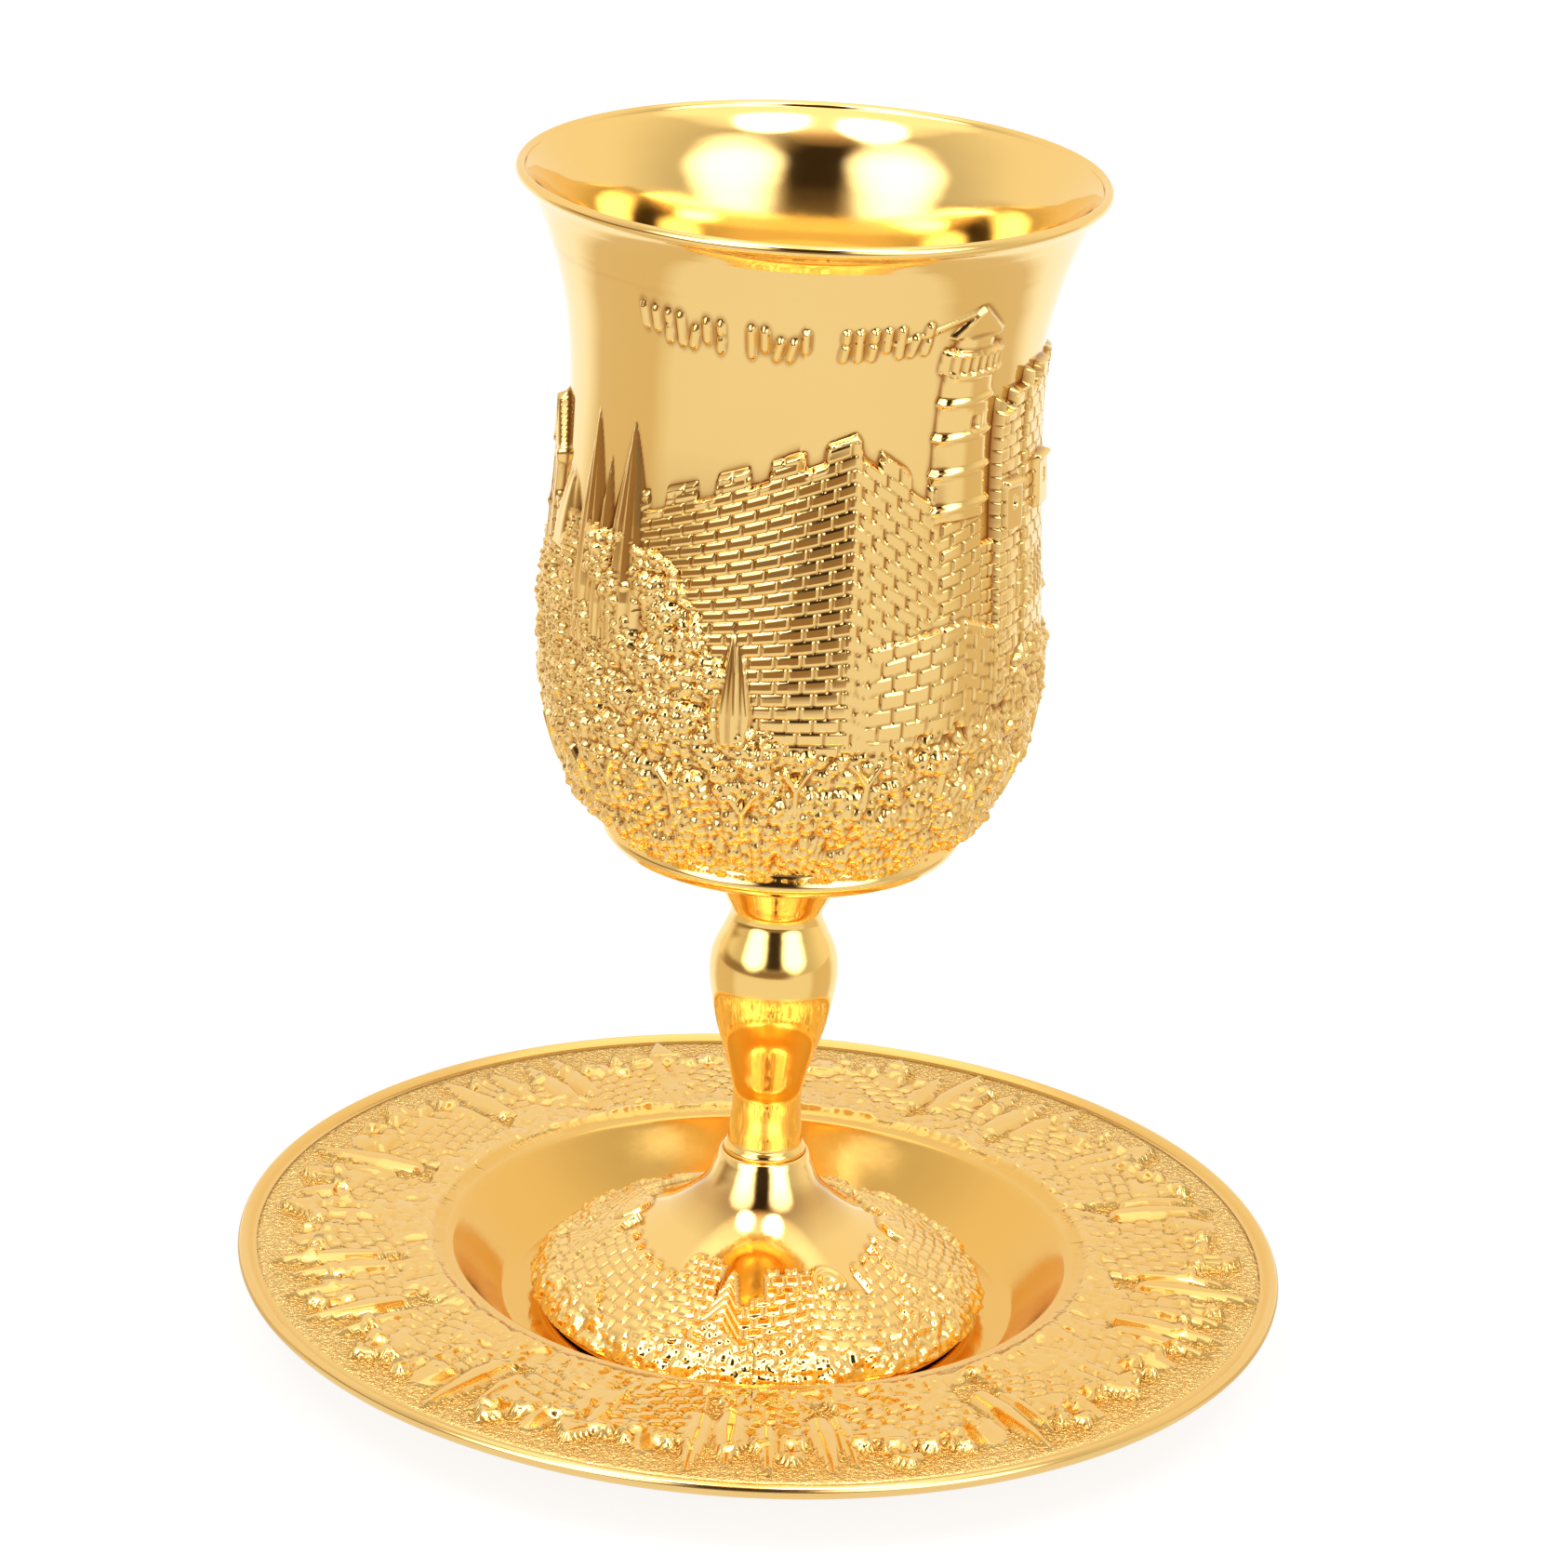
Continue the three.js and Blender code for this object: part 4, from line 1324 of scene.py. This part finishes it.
print("finishes:", [material.name for material in bpy.data.materials])

# %% [markdown]
# ### The stippled ground
#
# The bare ground between the carving is beaten with a fine punch, so it looks matt beside
# the polished relief. The points of the ground carry a number, and the finish reads it to
# turn on the roughness and a bump of worm-like dents there, half a millimetre apart.

# %% Stipple the saucer's ground
dent_depth, ground_haze = 0.0007, 0.12
tree = saucer_gold.node_tree
shader = tree.nodes["Principled BSDF"]
smooth_normal = shader.inputs["Normal"].links[0].from_socket
plated = shader.inputs["Roughness"].links[0].from_socket
on_ground = add_node(tree, "Attribute", attribute_name="stipple").outputs["Fac"]
dents = grain_of(tree, {"Scale": 1700, "Detail": 2, "Distortion": 0.8})
punched = add_node(tree, "Bump", {
    "Strength": 1, "Distance": dent_depth, "Normal": smooth_normal,
    "Height": maths(tree, "MULTIPLY", dents, on_ground),
})
feed(tree, shader, {
    "Normal": punched.outputs["Normal"],
    "Roughness": maths(tree, "MULTIPLY_ADD", on_ground, ground_haze, plated),
})
print("the ground's dents are", dent_depth / MM, "mm deep")

# %% [markdown]
# ## The table and the studio
#
# The goblet stands on a wide sheet of white paper. Bare metal shows its surroundings,
# so the room matters more than the lamps. The camera sees plain white. What the gold reflects
# is painted softly instead, as a glow of the paper: pale in front, tan at the sides and white
# behind, and turned brown far out to the left of the camera by painted shade; a pale warm room
# that is darker low down on that side; a bright ceiling; two large round lamps beside the
# camera, with a dark gap between them where the camera stands; and two small strong lamps high
# up that make the glints. The lamps are soft spots in the world, because a lamp with an edge
# would draw it on every brick.

# %% Soft ranges and directions
def smooth_range(tree, source, start, end, low, high):
    """low where source is at start, high where it is at end, smooth in between."""
    inputs = {"Value": source, "From Min": start, "From Max": end, "To Min": low, "To Max": high}
    return add_node(tree, "MapRange", inputs, interpolation_type="SMOOTHSTEP").outputs["Result"]


def vector_maths(tree, operation, *vectors):
    """The outputs of a Vector Math node on sockets and fixed vectors."""
    return add_node(tree, "VectorMath", dict(enumerate(vectors)), operation=operation).outputs


def camera_or_gold(tree, seen, mirrored, output):
    """Shows one shader to the camera and another one to the gold."""
    to_camera = add_node(tree, "LightPath").outputs["Is Camera Ray"]
    both = add_node(tree, "MixShader", {"Fac": to_camera, 1: mirrored, 2: seen})
    feed(tree, tree.nodes[output], {"Surface": both.outputs["Shader"]})


dark_turn = math.radians(-38)
dark_way = (math.sin(dark_turn), -math.cos(dark_turn), 0)
print("the room is darkest towards", [round(part, 2) for part in dark_way])


# %% Lay the paper
bm = bmesh.new()
bmesh.ops.create_grid(bm, x_segments=8, y_segments=8, size=4)
paper = mesh_object("paper", bm)
finish = bpy.data.materials.new("white_paper_painted_glow")
finish.use_nodes = True
sheet = finish.node_tree
sheet.nodes.remove(sheet.nodes["Principled BSDF"])
spot = add_node(sheet, "TexCoord").outputs["Object"]
distance = vector_maths(sheet, "LENGTH", spot)["Value"]
outward = vector_maths(sheet, "NORMALIZE", spot)["Vector"]
dark_side = vector_maths(sheet, "DOT_PRODUCT", outward, dark_way)["Value"]
# painted shade: far out towards the dark side of the room, the paper's glow turns brown
far = maths(sheet, "MULTIPLY", smooth_range(sheet, distance, 0.45, 0.9, 0, 1),
            smooth_range(sheet, dark_side, 0.15, 0.65, 0, 1))
backward = add_node(sheet, "SeparateXYZ", {0: spot}).outputs["Y"]
facing = smooth_range(sheet, maths(sheet, "DIVIDE", backward, distance), -1, 1, 0, 1)
# the tones of the paper's painted glow: pale in front, tan at the sides, white behind
painted_glow_ramp = add_node(sheet, "ValToRGB", {"Fac": facing})
stops = painted_glow_ramp.color_ramp.elements
stops[0].color, stops[1].color = (0.93, 0.88, 0.82, 1), (1.1, 1.1, 1.1, 1)
for stop, tint in (
    (0.2, (0.92, 0.87, 0.8, 1)), (0.33, (0.76, 0.63, 0.46, 1)),
    (0.8, (0.78, 0.65, 0.48, 1)), (0.92, (1.1, 1.1, 1.1, 1)),
):
    stops.new(stop).color = tint
painted_glow_tint = mixed(sheet, far, painted_glow_ramp.outputs["Color"], (0.34, 0.2, 0.1, 1))
# painted light: the gold sees the paper glow in these tones instead of being lit; the camera sees
# it white
mirrored = add_node(sheet, "Emission", {"Color": painted_glow_tint}).outputs["Emission"]
white = add_node(sheet, "Emission", {"Strength": 1.02}).outputs["Emission"]
matte = add_node(sheet, "BsdfDiffuse", {"Color": (0.95, 0.95, 0.95, 1)}).outputs["BSDF"]
shaded = add_node(sheet, "MixShader", {"Fac": 0.16, 1: white, 2: matte}).outputs["Shader"]
camera_or_gold(sheet, shaded, mirrored, "Material Output")
paper.data.materials.append(finish)
print("paper:", paper.dimensions.x, "m wide,", len(sheet.nodes), "nodes")

# %% Light the room
lamp_turn, lamp_up, lamp_strength = 41, 26, 3.2
glint_strength = 9.0
ceiling_strength = 1.45
world = bpy.data.worlds.new("studio")
world.use_nodes = True
bpy.context.scene.world = world
bpy.context.scene.view_settings.view_transform = "Standard"
studio = world.node_tree
direction = add_node(studio, "TexCoord").outputs["Generated"]
parts = add_node(studio, "SeparateXYZ", {0: direction}).outputs


def ranged(source, start, end, low, high):
    """A smooth range among the studio's nodes."""
    return smooth_range(studio, source, start, end, low, high)


def calc(operation, *numbers):
    """A calculation among the studio's nodes."""
    return maths(studio, operation, *numbers)


def towards(way, start, end):
    """0 up to one cosine with a direction, 1 from another one on."""
    return ranged(vector_maths(studio, "DOT_PRODUCT", direction, way)["Value"], start, end, 0, 1)


def towards_spot(azimuth, elevation, inner, outer):
    """1 within inner degrees of a direction, fading to 0 at outer degrees."""
    a, e = math.radians(azimuth), math.radians(elevation)
    way = (math.sin(a) * math.cos(e), -math.cos(a) * math.cos(e), math.sin(e))
    return towards(way, math.cos(math.radians(outer)), math.cos(math.radians(inner)))


def two_spots(one, other, strength):
    """Two soft round lamps of one strength."""
    return calc("MULTIPLY", calc("ADD", towards_spot(*one), towards_spot(*other)), strength)


low_down = ranged(parts["Z"], 0.08, 0.24, 0.6, 0)
gap = ranged(calc("ABSOLUTE", parts["X"]), 0.16, 0.34, 0.94, 0)
gap = calc("MULTIPLY", gap, ranged(parts["Z"], 0.75, 0.95, 1, 0))
gap = calc("MULTIPLY", gap, ranged(parts["Z"], 0.1, 0.3, 0.5, 1))
shade = calc("MULTIPLY", calc("MAXIMUM", low_down, gap), towards(dark_way, 0.15, 0.55))
walls = calc("MULTIPLY", ranged(parts["Y"], -0.5, 0.4, 0.66, 1.0), calc("SUBTRACT", 1, shade))
ceiling = ranged(parts["Z"], 0.7, 0.9, 0, ceiling_strength)
lamps = two_spots((lamp_turn, lamp_up, 4, 27), (-lamp_turn, lamp_up, 4, 27), lamp_strength)
glints = two_spots((-35, 60, 3, 13), (32, 64, 3, 13), glint_strength)
room = add_node(studio, "Background", {
    "Color": mixed(studio, shade, (1, 0.9, 0.74, 1), (1, 0.6, 0.3, 1)),
    "Strength": calc("MAXIMUM", walls, ceiling),
})
lamp_light = add_node(studio, "Background", {
    "Color": (1, 1, 1, 1), "Strength": calc("ADD", lamps, glints),
})
around = add_node(studio, "AddShader", {
    0: room.outputs["Background"], 1: lamp_light.outputs["Background"],
})
backdrop = studio.nodes["Background"]
feed(studio, backdrop, {"Color": (1, 1, 1, 1)})
camera_or_gold(studio, backdrop.outputs["Background"], around.outputs["Shader"], "World Output")
print("studio:", len(studio.nodes), "nodes")
